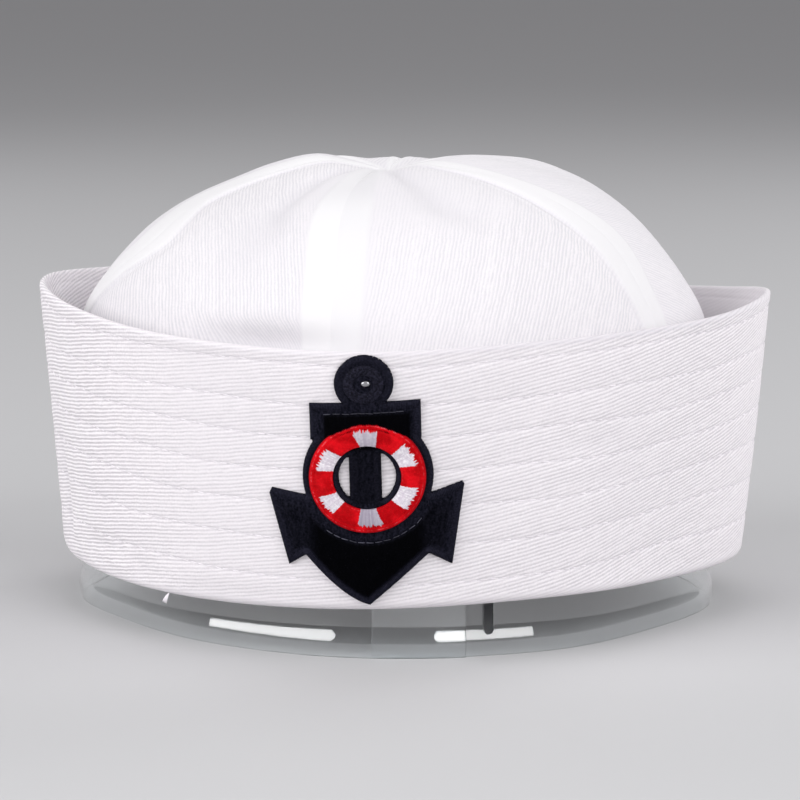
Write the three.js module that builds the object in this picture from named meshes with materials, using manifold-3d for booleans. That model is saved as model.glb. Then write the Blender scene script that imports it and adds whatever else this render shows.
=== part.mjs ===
// A white cotton sailor hat with a six-gore crown, a brim turned up all round and an
// embroidered anchor patch, standing on a ring of clear plastic strip.
//
// Millimetres, +Z up. The patch faces -Y and +X is to the right of someone looking at it.
// An azimuth is in degrees from the front (-Y), growing towards +X.
import * as THREE from "three";
import { mergeVertices } from "three/addons/utils/BufferGeometryUtils.js";
import { TessellateModifier } from "three/addons/modifiers/TessellateModifier.js";
import Module from "manifold-3d";

// Sheet thicknesses, the air that neighbouring pieces keep, and the air round the strip.
const GAP = 0.3;
const STRIP_AIR = 0.45;
const CROWN_CLOTH = 1.2;
const BRIM_PLIES = 1.8;
const STRIP_THICKNESS = 0.8;

// The clear strip: its height, the lap where its ends meet, and the slot beside the lap. The
// inner end lies flat against the outer one over the lap, then eases out to the ring's plan.
const STRIP_HEIGHT = 45;
const LAP = { endAzimuth: 17, degrees: 16, easeDegrees: 30 };
const SLOT = { azimuth: 21.2, width: 2.7, bottom: 5.7 };

// The brim's bottom bend, measured on its outer face.
const BEND_RADIUS = 2.8;

// Plan of the hat at equal steps round it: the strip's outer radius, then the radius and the
// height of the brim's outer face at its bottom fold and at its rim.
const PLAN_STEP = 30;
const PLAN_COLUMNS = ["strip", "fold", "foldHeight", "rim", "rimHeight"];
const PLAN = new Map([
  [-180, [86.5, 92.0, 12.0, 102.0, 82.5]],
  [-150, [86.5, 92.0, 12.0, 102.0, 84.0]],
  [-120, [88.0, 93.0, 12.0, 104.6, 86.2]],
  [-90, [88.0, 93.1, 11.9, 98.9, 88.6]],
  [-60, [80.0, 86.2, 12.1, 96.0, 86.1]],
  [-30, [82.0, 86.7, 12.0, 100.1, 82.9]],
  [0, [87.0, 92.6, 13.4, 106.4, 81.7]],
  [30, [87.0, 92.6, 14.8, 102.3, 83.4]],
  [60, [83.0, 87.8, 13.4, 102.2, 85.0]],
  [90, [87.5, 96.1, 13.3, 103.4, 86.9]],
  [120, [87.0, 93.4, 11.4, 102.7, 82.4]],
  [150, [86.0, 92.0, 11.5, 100.8, 79.0]],
]);

// The crown's outer surface from its bottom edge up to the meeting point of the seams, a row
// for each level: how far it follows the strip's plan, its radius, its height on the left and
// on the right, and how much lower it is at the back. The top row's small radius leaves the
// point where the seams meet.
const CROWN_COLUMNS = ["stripShare", "radius", "heightLeft", "heightRight", "backDrop"];
const CROWN = [
  [1.0, 88.0, 14.0, 14.0, 0.0],
  [1.0, 88.0, 30.0, 30.0, 0.0],
  [1.0, 88.0, 47.0, 47.0, 0.0],
  [0.4, 86.4, 63.0, 63.0, 0.0],
  [0.1, 85.0, 79.3, 78.4, 0.0],
  [0.0, 79.0, 91.8, 90.5, 0.0],
  [0.0, 70.0, 101.5, 103.2, 0.0],
  [0.0, 62.0, 107.8, 111.2, 0.0],
  [0.0, 53.0, 113.3, 117.2, 0.2],
  [0.0, 42.6, 117.9, 121.2, 0.4],
  [0.0, 31.6, 122.0, 123.4, 2.7],
  [0.0, 20.0, 123.9, 123.7, 3.4],
  [0.0, 9.6, 123.0, 122.6, 1.2],
  [0.0, 1.2, 122.2, 122.2, 0.0],
];

// The seams meet left of the middle, and the crown leans that way between these heights.
const CROWN_LEAN = { across: -1.9, fromHeight: 90, toHeight: 122 };

// Where the crown's cloth sinks between its stiffer seams, a row for each hollow: its place
// (azimuth and crown row), how far it spreads (degrees and crown rows), and its depth.
const HOLLOW_COLUMNS = ["azimuth", "row", "spreadAzimuth", "spreadRow", "depth"];
const HOLLOWS = [
  [-24, 9.2, 12, 2.0, 2.6],
  [19, 9.0, 12, 2.0, 2.8],
  [87, 9.3, 14, 1.8, 1.4],
  [146, 9.2, 15, 2.0, 2.2],
  [-156, 9.2, 15, 2.0, 2.2],
  [-97, 9.3, 14, 1.8, 1.6],
  [-30, 4.1, 22, 0.5, 2.8],
];

// The six seams between the gores.
const SEAM_AZIMUTHS = [-66, -7, 58, 117, 175, 233];

// The patch lies on the brim's front. Its middle is the lifebuoy's centre, this far right of
// the front and this far below the rim along the cloth. Its own coordinates are across and up
// from that middle. It sits a little askew, its arms more so than its shank.
const PATCH = {
  rightOfFront: 1.5,
  belowRim: 34.4,
  armTilt: 2.4,
  shankLean: 0.5,
  thickness: 1.2,
  facetEdge: 6,
  eyeHeight: 25.8,
  eyeRadius: 7.4,
  neckHalfWidth: 5.5,
  stockHalfWidth: 13.9,
  stockBottom: 10.4,
  stockTop: 20.6,
  discRadius: 16.75,
  windowRadius: 7.35,
  shankHalfWidth: 4.0,
  fluke: { meetsDisc: -16, tip: [24.1, -2.0], barb: [20.5, -22.7], notch: [16.2, -19.8] },
  point: [0, -34.2],
  pointBulge: [9.7, -29.4],
};
const LIFEBUOY = { inner: 8.8, outer: 15.0, height: 1.8 };
const EYE_RING = { inner: 2.6, outer: 4.9, height: 0.7 };
const EYE_PIN = { radius: 1.1, height: 1.2 };

// Facets round the brim and the strip and across each gore, which has one for each crown row.
const BRIM_FACETS = 72;
const STRIP_FACETS_PER_TURN = 90;
const GORE_FACETS = 10;

const radians = THREE.MathUtils.degToRad;
const lerp = THREE.MathUtils.lerp;

// Catmull-Rom value between b and c, t of the way along.
function cubic(a, b, c, d, t) {
  const bend = (2 * a - 5 * b + 4 * c - d) * t + (3 * b - a - 3 * c + d) * t * t;
  return b + 0.5 * t * (c - a + bend);
}

// The plan's columns at an azimuth, on a smooth closed curve through the table's rows.
function planAt(azimuth) {
  const place = azimuth / PLAN_STEP;
  const step = Math.floor(place);
  const row = (k) => PLAN.get(THREE.MathUtils.euclideanModulo((step + k) * PLAN_STEP + 180, 360) - 180);
  const [a, b, c, d] = [row(-1), row(0), row(1), row(2)];
  const value = (_, i) => cubic(a[i], b[i], c[i], d[i], place - step);
  return Object.fromEntries(PLAN_COLUMNS.map((name, i) => [name, value(name, i)]));
}

// The crown's columns at a place between its rows.
function crownRowAt(place) {
  const step = Math.min(Math.max(Math.floor(place), 0), CROWN.length - 2);
  const row = (k) => CROWN[Math.min(Math.max(step + k, 0), CROWN.length - 1)];
  const [a, b, c, d] = [row(-1), row(0), row(1), row(2)];
  const value = (_, i) => cubic(a[i], b[i], c[i], d[i], place - step);
  return Object.fromEntries(CROWN_COLUMNS.map((name, i) => [name, value(name, i)]));
}

// A point at an azimuth, a radius and a height.
function polar(azimuth, radius, height) {
  const a = radians(azimuth);
  return new THREE.Vector3(radius * Math.sin(a), -radius * Math.cos(a), height);
}

// The outward normal of a surface point(u, v), whose u grows with azimuth and v with height.
function normalOf(point, u, v, stepU, stepV) {
  const alongU = point(u + stepU, v).sub(point(u - stepU, v));
  const alongV = point(u, v + stepV).sub(point(u, v - stepV));
  return alongU.cross(alongV).normalize();
}

// A closed geometry from points and triangles, turned so that its faces look out.
function closedGeometry(points, triangles) {
  let volume = 0;
  for (const [a, b, c] of triangles) {
    volume += points[a].dot(new THREE.Vector3().crossVectors(points[b], points[c]));
  }
  const ordered = volume > 0 ? triangles : triangles.map(([a, b, c]) => [a, c, b]);
  const geometry = new THREE.BufferGeometry();
  geometry.setAttribute("position", new THREE.Float32BufferAttribute(points.flatMap((p) => p.toArray()), 3));
  geometry.setIndex(ordered.flat());
  return geometry;
}

// Two triangles for the cell whose corners are a, b on one side and d, c on the other.
function cell(a, b, c, d) {
  return [[a, b, c], [a, c, d]];
}

// Loops of equal length joined one to the next. Closed, the last joins the first; open, the
// two end loops are capped as fans of quads from side to side.
function loft(loops, closed) {
  const count = loops[0].length;
  const at = (i, k) => (i % loops.length) * count + (k % count);
  const triangles = [];
  const spans = closed ? loops.length : loops.length - 1;
  for (let i = 0; i < spans; i++) {
    for (let k = 0; k < count; k++) {
      triangles.push(...cell(at(i, k), at(i + 1, k), at(i + 1, k + 1), at(i, k + 1)));
    }
  }
  if (!closed) {
    for (let k = 0; k < count / 2 - 1; k++) {
      const [a, b, c, d] = [k, k + 1, count - 2 - k, count - 1 - k];
      triangles.push(...cell(at(0, a), at(0, b), at(0, c), at(0, d)));
      const last = loops.length - 1;
      triangles.push(...cell(at(last, d), at(last, c), at(last, b), at(last, a)));
    }
  }
  return closedGeometry(loops.flat(), triangles);
}

// ---- The clear strip, bent to a ring whose ends lap ----

function stripGeometry() {
  const turn = 360 + LAP.degrees;
  const stations = Math.round((STRIP_FACETS_PER_TURN * turn) / 360);
  const start = LAP.endAzimuth - turn;
  const lapped = start + LAP.degrees;
  const loops = [];
  for (let i = 0; i <= stations; i++) {
    const azimuth = start + (turn * i) / stations;
    const tucked = 1 - THREE.MathUtils.smoothstep(azimuth, lapped, lapped + LAP.easeDegrees);
    const outer = planAt(azimuth).strip - tucked * (STRIP_THICKNESS + GAP);
    const inner = outer - STRIP_THICKNESS;
    loops.push([
      polar(azimuth, inner, 0),
      polar(azimuth, outer, 0),
      polar(azimuth, outer, STRIP_HEIGHT),
      polar(azimuth, inner, STRIP_HEIGHT),
    ]);
  }
  return loft(loops, false);
}

// The slot's cutter: an upright bar with a round bottom end, through the strip's front wall.
function slotCutter() {
  const half = SLOT.width / 2;
  const outline = new THREE.Shape();
  outline.moveTo(half, STRIP_HEIGHT + 1);
  outline.lineTo(-half, STRIP_HEIGHT + 1);
  outline.lineTo(-half, SLOT.bottom + half);
  outline.absarc(0, SLOT.bottom + half, half, Math.PI, 2 * Math.PI, false);
  const reach = planAt(SLOT.azimuth).strip;
  const bar = new THREE.ExtrudeGeometry(outline, { depth: 20, bevelEnabled: false, curveSegments: 5 });
  bar.translate(0, 0, reach - 10);
  // The outline's up becomes +Z and its depth points out at the slot's azimuth.
  bar.rotateX(Math.PI / 2);
  bar.rotateZ(radians(SLOT.azimuth));
  return bar;
}

const wasm = await Module();
wasm.setup();

// A manifold-3d solid from a geometry.
function toManifold(geometry) {
  const bare = geometry.clone();
  bare.deleteAttribute("normal");
  bare.deleteAttribute("uv");
  const merged = mergeVertices(bare, 1e-4);
  return new wasm.Manifold(new wasm.Mesh({
    numProp: 3,
    vertProperties: new Float32Array(merged.attributes.position.array),
    triVerts: new Uint32Array(merged.index.array),
  }));
}

// The first geometry with the second cut out of it.
function cut(body, tool) {
  const mesh = toManifold(body).subtract(toManifold(tool)).getMesh();
  const geometry = new THREE.BufferGeometry();
  geometry.setAttribute("position", new THREE.BufferAttribute(new Float32Array(mesh.vertProperties), 3));
  geometry.setIndex(new THREE.BufferAttribute(new Uint32Array(mesh.triVerts), 1));
  return geometry;
}

// ---- The brim: one quilted wall, bent under the crown at its bottom ----

// The brim's section at an azimuth as a closed loop: the lip under the crown, the bend, the
// outer face up to the rounded rim, and the inner face down again.
function brimSection(azimuth) {
  const { strip, fold, foldHeight, rim, rimHeight } = planAt(azimuth);
  const along = new THREE.Vector2(rim - fold, rimHeight - foldHeight - BEND_RADIUS).normalize();
  const inward = new THREE.Vector2(-along.y, along.x);
  const half = BRIM_PLIES / 2;
  const foot = new THREE.Vector2(fold, foldHeight + BEND_RADIUS);
  const shoulder = new THREE.Vector2(rim, rimHeight).addScaledVector(along, -half);
  const lipInner = strip + STRIP_AIR;
  const bendCentre = new THREE.Vector2(fold - BEND_RADIUS, foldHeight + BEND_RADIUS);
  const onBend = (radius, degrees) => {
    const a = radians(degrees);
    return new THREE.Vector2(radius * Math.cos(a), radius * Math.sin(a)).add(bendCentre);
  };
  const wallShares = [0, 0.2, 0.4, 0.6, 0.8, 1];
  const outerFace = wallShares.map((share) => foot.clone().lerp(shoulder, share));
  const innerFace = outerFace.map((p) => p.clone().addScaledVector(inward, BRIM_PLIES)).reverse();
  const rimCentre = shoulder.clone().addScaledVector(inward, half);
  const rimRound = [45, 90, 135].map((degrees) => {
    const a = radians(degrees);
    return rimCentre.clone().addScaledVector(inward, -half * Math.cos(a)).addScaledVector(along, half * Math.sin(a));
  });
  const section = [
    new THREE.Vector2(lipInner, foldHeight),
    onBend(BEND_RADIUS, -90),
    onBend(BEND_RADIUS, -60),
    onBend(BEND_RADIUS, -30),
    ...outerFace,
    ...rimRound,
    ...innerFace,
    onBend(BEND_RADIUS - BRIM_PLIES, -45),
    onBend(BEND_RADIUS - BRIM_PLIES, -90),
    new THREE.Vector2(lipInner, foldHeight + BRIM_PLIES),
  ];
  return section.map((p) => polar(azimuth, p.x, p.y));
}

function brimGeometry() {
  const loops = [];
  for (let i = 0; i < BRIM_FACETS; i++) {
    loops.push(brimSection((360 * i) / BRIM_FACETS - 180));
  }
  return loft(loops, true);
}

// ---- The crown: six gores, each a curved panel between two seams ----

// The crown's outer surface before its cloth sinks.
function roundCrown(azimuth, place) {
  const row = crownRowAt(place);
  const plan = planAt(azimuth);
  const bottomRadius = plan.strip + STRIP_AIR + CROWN_CLOTH;
  const bottomHeight = plan.foldHeight + BRIM_PLIES + GAP;
  const rightShare = (1 + Math.sin(radians(azimuth))) / 2;
  const radius = lerp(row.radius, bottomRadius, row.stripShare);
  const level = lerp(row.heightLeft, row.heightRight, rightShare);
  const behind = Math.max(0, -Math.cos(radians(azimuth))) ** 1.5;
  const height = level + (bottomHeight - CROWN[0][2]) * row.stripShare - row.backDrop * behind;
  const point = polar(azimuth, radius, height);
  point.x += CROWN_LEAN.across * THREE.MathUtils.smoothstep(height, CROWN_LEAN.fromHeight, CROWN_LEAN.toHeight);
  return point;
}

// The crown's outer surface with its hollows, and the normal there.
function crownSurface(azimuth, place) {
  const normal = normalOf(roundCrown, azimuth, place, 0.5, 0.02);
  let depth = 0;
  for (const row of HOLLOWS) {
    const hollow = Object.fromEntries(HOLLOW_COLUMNS.map((name, i) => [name, row[i]]));
    const turn = THREE.MathUtils.euclideanModulo(azimuth - hollow.azimuth + 180, 360) - 180;
    const across = turn / hollow.spreadAzimuth;
    const up = (place - hollow.row) / hollow.spreadRow;
    depth += hollow.depth * Math.exp(-across * across - up * up);
  }
  return { point: roundCrown(azimuth, place).addScaledVector(normal, -depth), normal };
}

// One gore between two seam azimuths, as loops across it from its bottom edge to its top.
function goreGeometry(from, to) {
  const loops = [];
  for (let place = 0; place < CROWN.length; place++) {
    const margin = THREE.MathUtils.radToDeg(GAP / 2 / crownRowAt(place).radius);
    const outer = [];
    const inner = [];
    for (let i = 0; i <= GORE_FACETS; i++) {
      const azimuth = lerp(from + margin, to - margin, i / GORE_FACETS);
      const { point, normal } = crownSurface(azimuth, place);
      outer.push(point);
      inner.push(point.clone().addScaledVector(normal, -CROWN_CLOTH));
    }
    loops.push([...outer, ...inner.reverse()]);
  }
  return loft(loops, false);
}

// ---- The patch: an anchor with a lifebuoy, lying on the brim's front ----

// The brim's outer face at an azimuth and a distance below its rim.
function brimFace(azimuth, belowRim) {
  const { fold, foldHeight, rim, rimHeight } = planAt(azimuth);
  const foot = new THREE.Vector2(fold, foldHeight + BEND_RADIUS);
  const top = new THREE.Vector2(rim, rimHeight);
  const p = top.clone().lerp(foot, belowRim / top.distanceTo(foot));
  return polar(azimuth, p.x, p.y);
}

// Bends a flat geometry, whose x is across, y up and z out, onto the brim's front.
function layOnBrim(geometry, lift) {
  const position = geometry.attributes.position;
  for (let i = 0; i < position.count; i++) {
    const [x, y, out] = [position.getX(i), position.getY(i), position.getZ(i)];
    const across = PATCH.rightOfFront + x - y * Math.sin(radians(PATCH.shankLean));
    const belowRim = PATCH.belowRim - y - x * Math.sin(radians(PATCH.armTilt));
    const azimuth = THREE.MathUtils.radToDeg(across / -brimFace(0, belowRim).y);
    const face = (a, height) => brimFace(a, -height);
    const normal = normalOf(face, azimuth, -belowRim, 0.5, 0.5);
    const point = brimFace(azimuth, belowRim).addScaledVector(normal, GAP + lift + out);
    position.setXYZ(i, point.x, point.y, point.z);
  }
  geometry.deleteAttribute("normal");
  geometry.deleteAttribute("uv");
  return mergeVertices(geometry, 1e-3);
}

// The anchor's outline, clockwise from the left of its neck, with the two window openings
// either side of its shank.
function anchorShape() {
  const p = PATCH;
  const eyeAngle = Math.acos(p.neckHalfWidth / p.eyeRadius);
  const discTop = Math.asin(p.stockBottom / p.discRadius);
  const discBottom = radians(p.fluke.meetsDisc);
  const mirrored = ([x, y]) => [-x, y];
  const shape = new THREE.Shape();
  shape.moveTo(-p.stockHalfWidth, p.stockTop);
  shape.lineTo(-p.neckHalfWidth, p.stockTop);
  shape.absarc(0, p.eyeHeight, p.eyeRadius, Math.PI + eyeAngle, -eyeAngle, true);
  shape.lineTo(p.neckHalfWidth, p.stockTop);
  shape.lineTo(p.stockHalfWidth, p.stockTop);
  shape.lineTo(p.stockHalfWidth, p.stockBottom);
  shape.absarc(0, 0, p.discRadius, discTop, discBottom, true);
  shape.lineTo(...p.fluke.tip);
  shape.lineTo(...p.fluke.barb);
  shape.lineTo(...p.fluke.notch);
  shape.quadraticCurveTo(...p.pointBulge, ...p.point);
  shape.quadraticCurveTo(...mirrored(p.pointBulge), ...mirrored(p.fluke.notch));
  shape.lineTo(...mirrored(p.fluke.barb));
  shape.lineTo(...mirrored(p.fluke.tip));
  shape.absarc(0, 0, p.discRadius, Math.PI - discBottom, Math.PI - discTop, true);
  shape.lineTo(-p.stockHalfWidth, p.stockBottom);
  shape.closePath();
  const windowAngle = Math.acos(p.shankHalfWidth / p.windowRadius);
  for (const middle of [0, Math.PI]) {
    const opening = new THREE.Path();
    opening.absarc(0, 0, p.windowRadius, middle - windowAngle, middle + windowAngle, false);
    opening.closePath();
    shape.holes.push(opening);
  }
  return shape;
}

function anchorGeometry() {
  const flat = new THREE.ExtrudeGeometry(anchorShape(), {
    depth: PATCH.thickness,
    bevelEnabled: false,
    curveSegments: 8,
  });
  return layOnBrim(new TessellateModifier(PATCH.facetEdge, 8).modify(flat), 0);
}

// A raised ring or button on the patch, turned about its own axis from a section of
// [radius, height] points, and centred this far above the patch's middle.
function raisedGeometry(section, segments, up) {
  const turned = new THREE.LatheGeometry(section.map(([r, h]) => new THREE.Vector2(r, h)), segments);
  turned.rotateX(Math.PI / 2);
  turned.translate(0, up, 0);
  const laid = layOnBrim(turned, PATCH.thickness + GAP);
  const points = [];
  for (let i = 0; i < laid.attributes.position.count; i++) {
    points.push(new THREE.Vector3().fromBufferAttribute(laid.attributes.position, i));
  }
  const triangles = [];
  for (let i = 0; i < laid.index.count; i += 3) {
    const triangle = [laid.index.getX(i), laid.index.getX(i + 1), laid.index.getX(i + 2)];
    if (new Set(triangle).size === 3) triangles.push(triangle);
  }
  return closedGeometry(points, triangles);
}

// The section of a flat ring with a rounded top.
function ringSection({ inner, outer, height }) {
  const width = outer - inner;
  return [
    [inner, 0],
    [outer, 0],
    [outer, height * 0.5],
    [outer - width * 0.2, height * 0.9],
    [outer - width * 0.5, height],
    [inner + width * 0.2, height * 0.9],
    [inner, height * 0.5],
    [inner, 0],
  ];
}

function buttonSection({ radius, height }) {
  return [[0, 0], [radius, 0], [radius, height * 0.5], [radius * 0.6, height * 0.9], [0, height]];
}

// ---- The hat, piece by piece ----

const cloth = { color: 0xf3f1f0, roughness: 0.9, metalness: 0 };
const clearPlastic = { color: 0xdde3e6, roughness: 0.08, metalness: 0 };
const navyThread = { color: 0x10131f, roughness: 0.85, metalness: 0 };
const redThread = { color: 0xb5121b, roughness: 0.6, metalness: 0 };
const pinHead = { color: 0xb9bcc0, roughness: 0.25, metalness: 0.6 };

const hat = new THREE.Group();
hat.name = "sailor_hat";

function addPiece(name, geometry, finish) {
  const mesh = new THREE.Mesh(geometry, new THREE.MeshStandardMaterial(finish));
  mesh.name = name;
  hat.add(mesh);
}

addPiece("stand_strip", cut(stripGeometry(), slotCutter()), clearPlastic);
addPiece("brim", brimGeometry(), cloth);
SEAM_AZIMUTHS.forEach((seam, i) => {
  const next = i + 1 < SEAM_AZIMUTHS.length ? SEAM_AZIMUTHS[i + 1] : SEAM_AZIMUTHS[0] + 360;
  addPiece(`crown_gore_${i + 1}`, goreGeometry(seam, next), cloth);
});
addPiece("patch_anchor", anchorGeometry(), navyThread);
addPiece("patch_lifebuoy", raisedGeometry(ringSection(LIFEBUOY), 40, 0), redThread);
addPiece("patch_eye_ring", raisedGeometry(ringSection(EYE_RING), 24, PATCH.eyeHeight), navyThread);
addPiece("patch_eye_pin", raisedGeometry(buttonSection(EYE_PIN), 12, PATCH.eyeHeight), pinHead);

// The origin is under the middle of the whole hat, on the surface that the strip stands on.
const bounds = new THREE.Box3().setFromObject(hat, true);
const middle = bounds.getCenter(new THREE.Vector3());
hat.position.set(-middle.x, -middle.y, -bounds.min.z);

export default hat;
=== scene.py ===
import bpy
import numpy as np
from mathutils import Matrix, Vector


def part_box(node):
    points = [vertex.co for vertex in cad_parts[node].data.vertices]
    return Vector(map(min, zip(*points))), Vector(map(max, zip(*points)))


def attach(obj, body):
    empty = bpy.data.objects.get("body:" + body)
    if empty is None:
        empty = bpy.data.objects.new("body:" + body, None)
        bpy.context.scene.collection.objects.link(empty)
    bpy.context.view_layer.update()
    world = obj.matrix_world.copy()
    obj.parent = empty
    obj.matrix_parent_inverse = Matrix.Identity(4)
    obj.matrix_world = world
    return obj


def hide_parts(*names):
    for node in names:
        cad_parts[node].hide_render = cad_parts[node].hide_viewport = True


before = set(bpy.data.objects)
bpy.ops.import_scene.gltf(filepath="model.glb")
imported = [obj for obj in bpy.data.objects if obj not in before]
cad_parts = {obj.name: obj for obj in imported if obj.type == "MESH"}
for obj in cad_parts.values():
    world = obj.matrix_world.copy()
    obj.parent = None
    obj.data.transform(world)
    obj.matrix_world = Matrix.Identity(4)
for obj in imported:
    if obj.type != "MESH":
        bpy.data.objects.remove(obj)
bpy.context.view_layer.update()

# ---- The hat's plan ----
# A sewn hat pulled over a springy plastic ring is never quite round, and its brim leans out by
# different amounts. All pieces follow this one plan: the ring's outer radius, then the radius,
# height and rounding of the brim's bottom fold, and the radius and height of its rim.
# Most of the fold and rim figures came out of a least-squares fit of the hat's outline as the
# camera sees it, so they aren't a maker's own sizes. The strip's were chosen.
PLAN_STEP = 30
PLAN = {  # at azimuths -180, -150, and so on to 150
    "strip": [86.5, 86.5, 88.0, 88.0, 80.0, 82.0, 87.0, 87.0, 83.0, 87.5, 87.0, 86.0],
    "fold": [92.0, 92.0, 93.0, 93.1, 86.2, 86.7, 92.6, 92.6, 87.8, 96.1, 93.4, 92.0],
    "fold_height": [12.0, 12.0, 12.0, 11.9, 12.1, 12.0, 13.4, 14.8, 13.4, 13.3, 11.4, 11.5],
    "bend": [3.0, 3.0, 3.9, 7.1, 2.8, 2.8, 2.8, 2.8, 2.8, 2.8, 3.0, 3.0],
    "rim": [102.0, 102.0, 104.6, 98.9, 96.0, 100.1, 106.4, 102.3, 102.2, 103.4, 102.7, 100.8],
    "rim_height": [82.5, 84.0, 86.2, 88.6, 86.1, 82.9, 81.7, 83.4, 85.0, 86.9, 82.4, 79.0],
}


def through(rows, place, closed=False):
    """Values at places between a table's rows, on a Catmull-Rom curve through them all."""
    rows = np.asarray(rows, float)
    step = np.floor(place).astype(int)
    if not closed:
        step = np.clip(step, 0, len(rows) - 2)
    t = place - step
    around = [step + k for k in (-1, 0, 1, 2)]
    if closed:
        a, b, c, d = (rows[k % len(rows)] for k in around)
    else:
        a, b, c, d = (rows[np.clip(k, 0, len(rows) - 1)] for k in around)
    return b + 0.5 * t * (c - a + (2 * a - 5 * b + 4 * c - d) * t + (3 * (b - c) + d - a) * t * t)


def plan(column, azimuth):
    """One of the plan's columns at azimuths, on a closed curve through its rows."""
    return through(PLAN[column], (np.asarray(azimuth, float) + 180) / PLAN_STEP, closed=True)


def turned(azimuth, radius, height):
    """Points at azimuths, radii and heights about the hat's own axis."""
    a = np.radians(azimuth)
    return np.stack(np.broadcast_arrays(radius * np.sin(a), -radius * np.cos(a), height), -1)


# The frame's origin is under the middle of the whole hat, and the hat's own axis is a little
# off it. The brim's box says by how much.
all_round = np.arange(-180, 180, 0.5)
rim_line = turned(all_round, plan("rim", all_round), 0)
brim_low, brim_high = (np.array(corner) * 1000 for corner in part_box("brim"))
HAT_AXIS = (brim_low + brim_high - rim_line.min(0) - rim_line.max(0)) / 2 * [1, 1, 0]


def on_hat(azimuth, radius, height):
    """Points about the hat's own axis, where it stands in the frame."""
    return turned(azimuth, radius, height) + HAT_AXIS


# ---- Camera ----
# A long lens from a little above the hat, just to the right of its front. Its place and angles
# came out of a numerical fit too.
CAMERA = {"distance": 1100, "azimuth": 5, "height": 205, "tilt": 7.747, "heading": 4.928}
LENS = 180.2
SENSOR = 36
SEES_AS_FAR_AS = 50  # metres

camera_data = bpy.data.cameras.new("camera")
camera_data.lens = LENS
camera_data.sensor_width = SENSOR
camera_data.clip_end = SEES_AS_FAR_AS
camera = bpy.data.objects.new("camera", camera_data)
camera.location = on_hat(CAMERA["azimuth"], CAMERA["distance"], CAMERA["height"]) / 1000
camera.rotation_euler = np.radians([90 - CAMERA["tilt"], 0, CAMERA["heading"]])
bpy.context.scene.collection.objects.link(camera)
bpy.context.scene.camera = camera


# ---- Floor and light ----
# A plain pale floor that runs far back, and soft boxes: one each side of the camera, one at the
# hat's right, two behind it and one above.
class Value:
    """A shader socket that Python's operators work on, each adding one Math node."""

    def __init__(self, finish, socket):
        self.finish = finish
        self.socket = socket

    def __add__(self, other):
        return self.finish.maths("ADD", self, other)

    def __sub__(self, other):
        return self.finish.maths("SUBTRACT", self, other)

    def __rsub__(self, other):
        return self.finish.maths("SUBTRACT", other, self)

    def __mul__(self, other):
        return self.finish.maths("MULTIPLY", self, other)

    def __truediv__(self, other):
        return self.finish.maths("DIVIDE", self, other)

    __radd__ = __add__
    __rmul__ = __mul__


class Finish:
    """A material whose pattern is written as expressions on Values."""

    def __init__(self, name, **constants):
        self.material = bpy.data.materials.new(name)
        self.material.use_nodes = True
        self.tree = self.material.node_tree
        self.surface = self.tree.nodes["Principled BSDF"]
        self.set(**constants)

    def set(self, **sockets):
        """Gives the surface's own sockets values or links, underscores standing for spaces."""
        for name, value in sockets.items():
            self.feed(value, self.surface.inputs[name.replace("_", " ")])

    def feed(self, value, socket):
        """Links a Value to a socket, or sets the socket to a number or a colour."""
        if isinstance(value, Value):
            self.tree.links.new(value.socket, socket)
        elif socket.type == "RGBA":
            socket.default_value = (*value, 1)
        else:
            socket.default_value = value

    def node(self, kind, settings=None, sockets=None, output=0):
        """Any node: its type, its settings, its sockets' values or links, and the output used."""
        node = self.tree.nodes.new("ShaderNode" + kind)
        for name, value in (settings or {}).items():
            setattr(node, name, value)
        for name, value in (sockets or {}).items():
            self.feed(value, node.inputs[name])
        return Value(self, node.outputs[output])

    def place(self):
        """Where a point is on the finished object, in metres."""
        return self.node("TexCoord", None, None, "Object")

    def attribute(self, name):
        """A value that the mesh carries at each of its points."""
        return self.node("Attribute", {"attribute_name": name}, None, "Fac")

    def maths(self, operation, *operands):
        """One Math node's result for these operands."""
        return self.node("Math", {"operation": operation}, dict(enumerate(operands)))

    def mix(self, share, first, second):
        """A colour that goes from the first to the second as share goes from 0 to 1."""
        return self.node("Mix", {"data_type": "RGBA"}, {0: share, 6: first, 7: second}, 2)

    def ramp(self, value, low, high):
        """0 below low, 1 above high, and smooth between."""
        limits = {"Value": value, "From Min": low, "From Max": high}
        return self.node("MapRange", {"interpolation_type": "SMOOTHSTEP"}, limits)

    def bump(self, height, distance):
        """A normal from a height of 0 to 1, whose full relief is distance, in millimetres."""
        return self.node("Bump", None, {"Height": height, "Distance": distance / 1000})

    def noise(self, vector, scale, detail=2.0):
        """Cloudy noise, mostly near 0.5, with this many clouds to each unit of the vector."""
        sockets = {"Vector": vector, "Scale": scale, "Detail": detail}
        return self.node("TexNoise", None, sockets)


FLOOR_RADIUS = 14
FLOOR_COLOUR = (0.56, 0.56, 0.57)
WORLD_COLOUR = (0.83, 0.82, 0.84)
WORLD_STRENGTH = 0.4
# Azimuth, distance and height of the middle in metres, width, height and power in watts.
SOFT_BOXES = {
    "left_box": (-53, 1.5, 0.75, 1.57, 1.1, 19.7),
    "right_box": (37, 1.5, 0.8, 1.14, 1.1, 11.8),
    "side_box": (85, 1.5, 0.7, 1.0, 1.0, 7.3),
    "back_right_box": (140, 1.6, 0.8, 0.7, 0.7, 5.7),
    "back_left_box": (-140, 1.6, 0.8, 0.7, 0.7, 2.7),
    "top_box": (10, 0.3, 1.7, 1.5, 1.5, 4.5),
}
AIM_HEIGHT = 0.06

bpy.ops.mesh.primitive_circle_add(vertices=96, radius=FLOOR_RADIUS, fill_type="NGON")
floor = bpy.context.object
floor.name = "floor"
floor_finish = Finish("floor", Base_Color=FLOOR_COLOUR, Roughness=0.75)
floor.data.materials.append(floor_finish.material)

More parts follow.
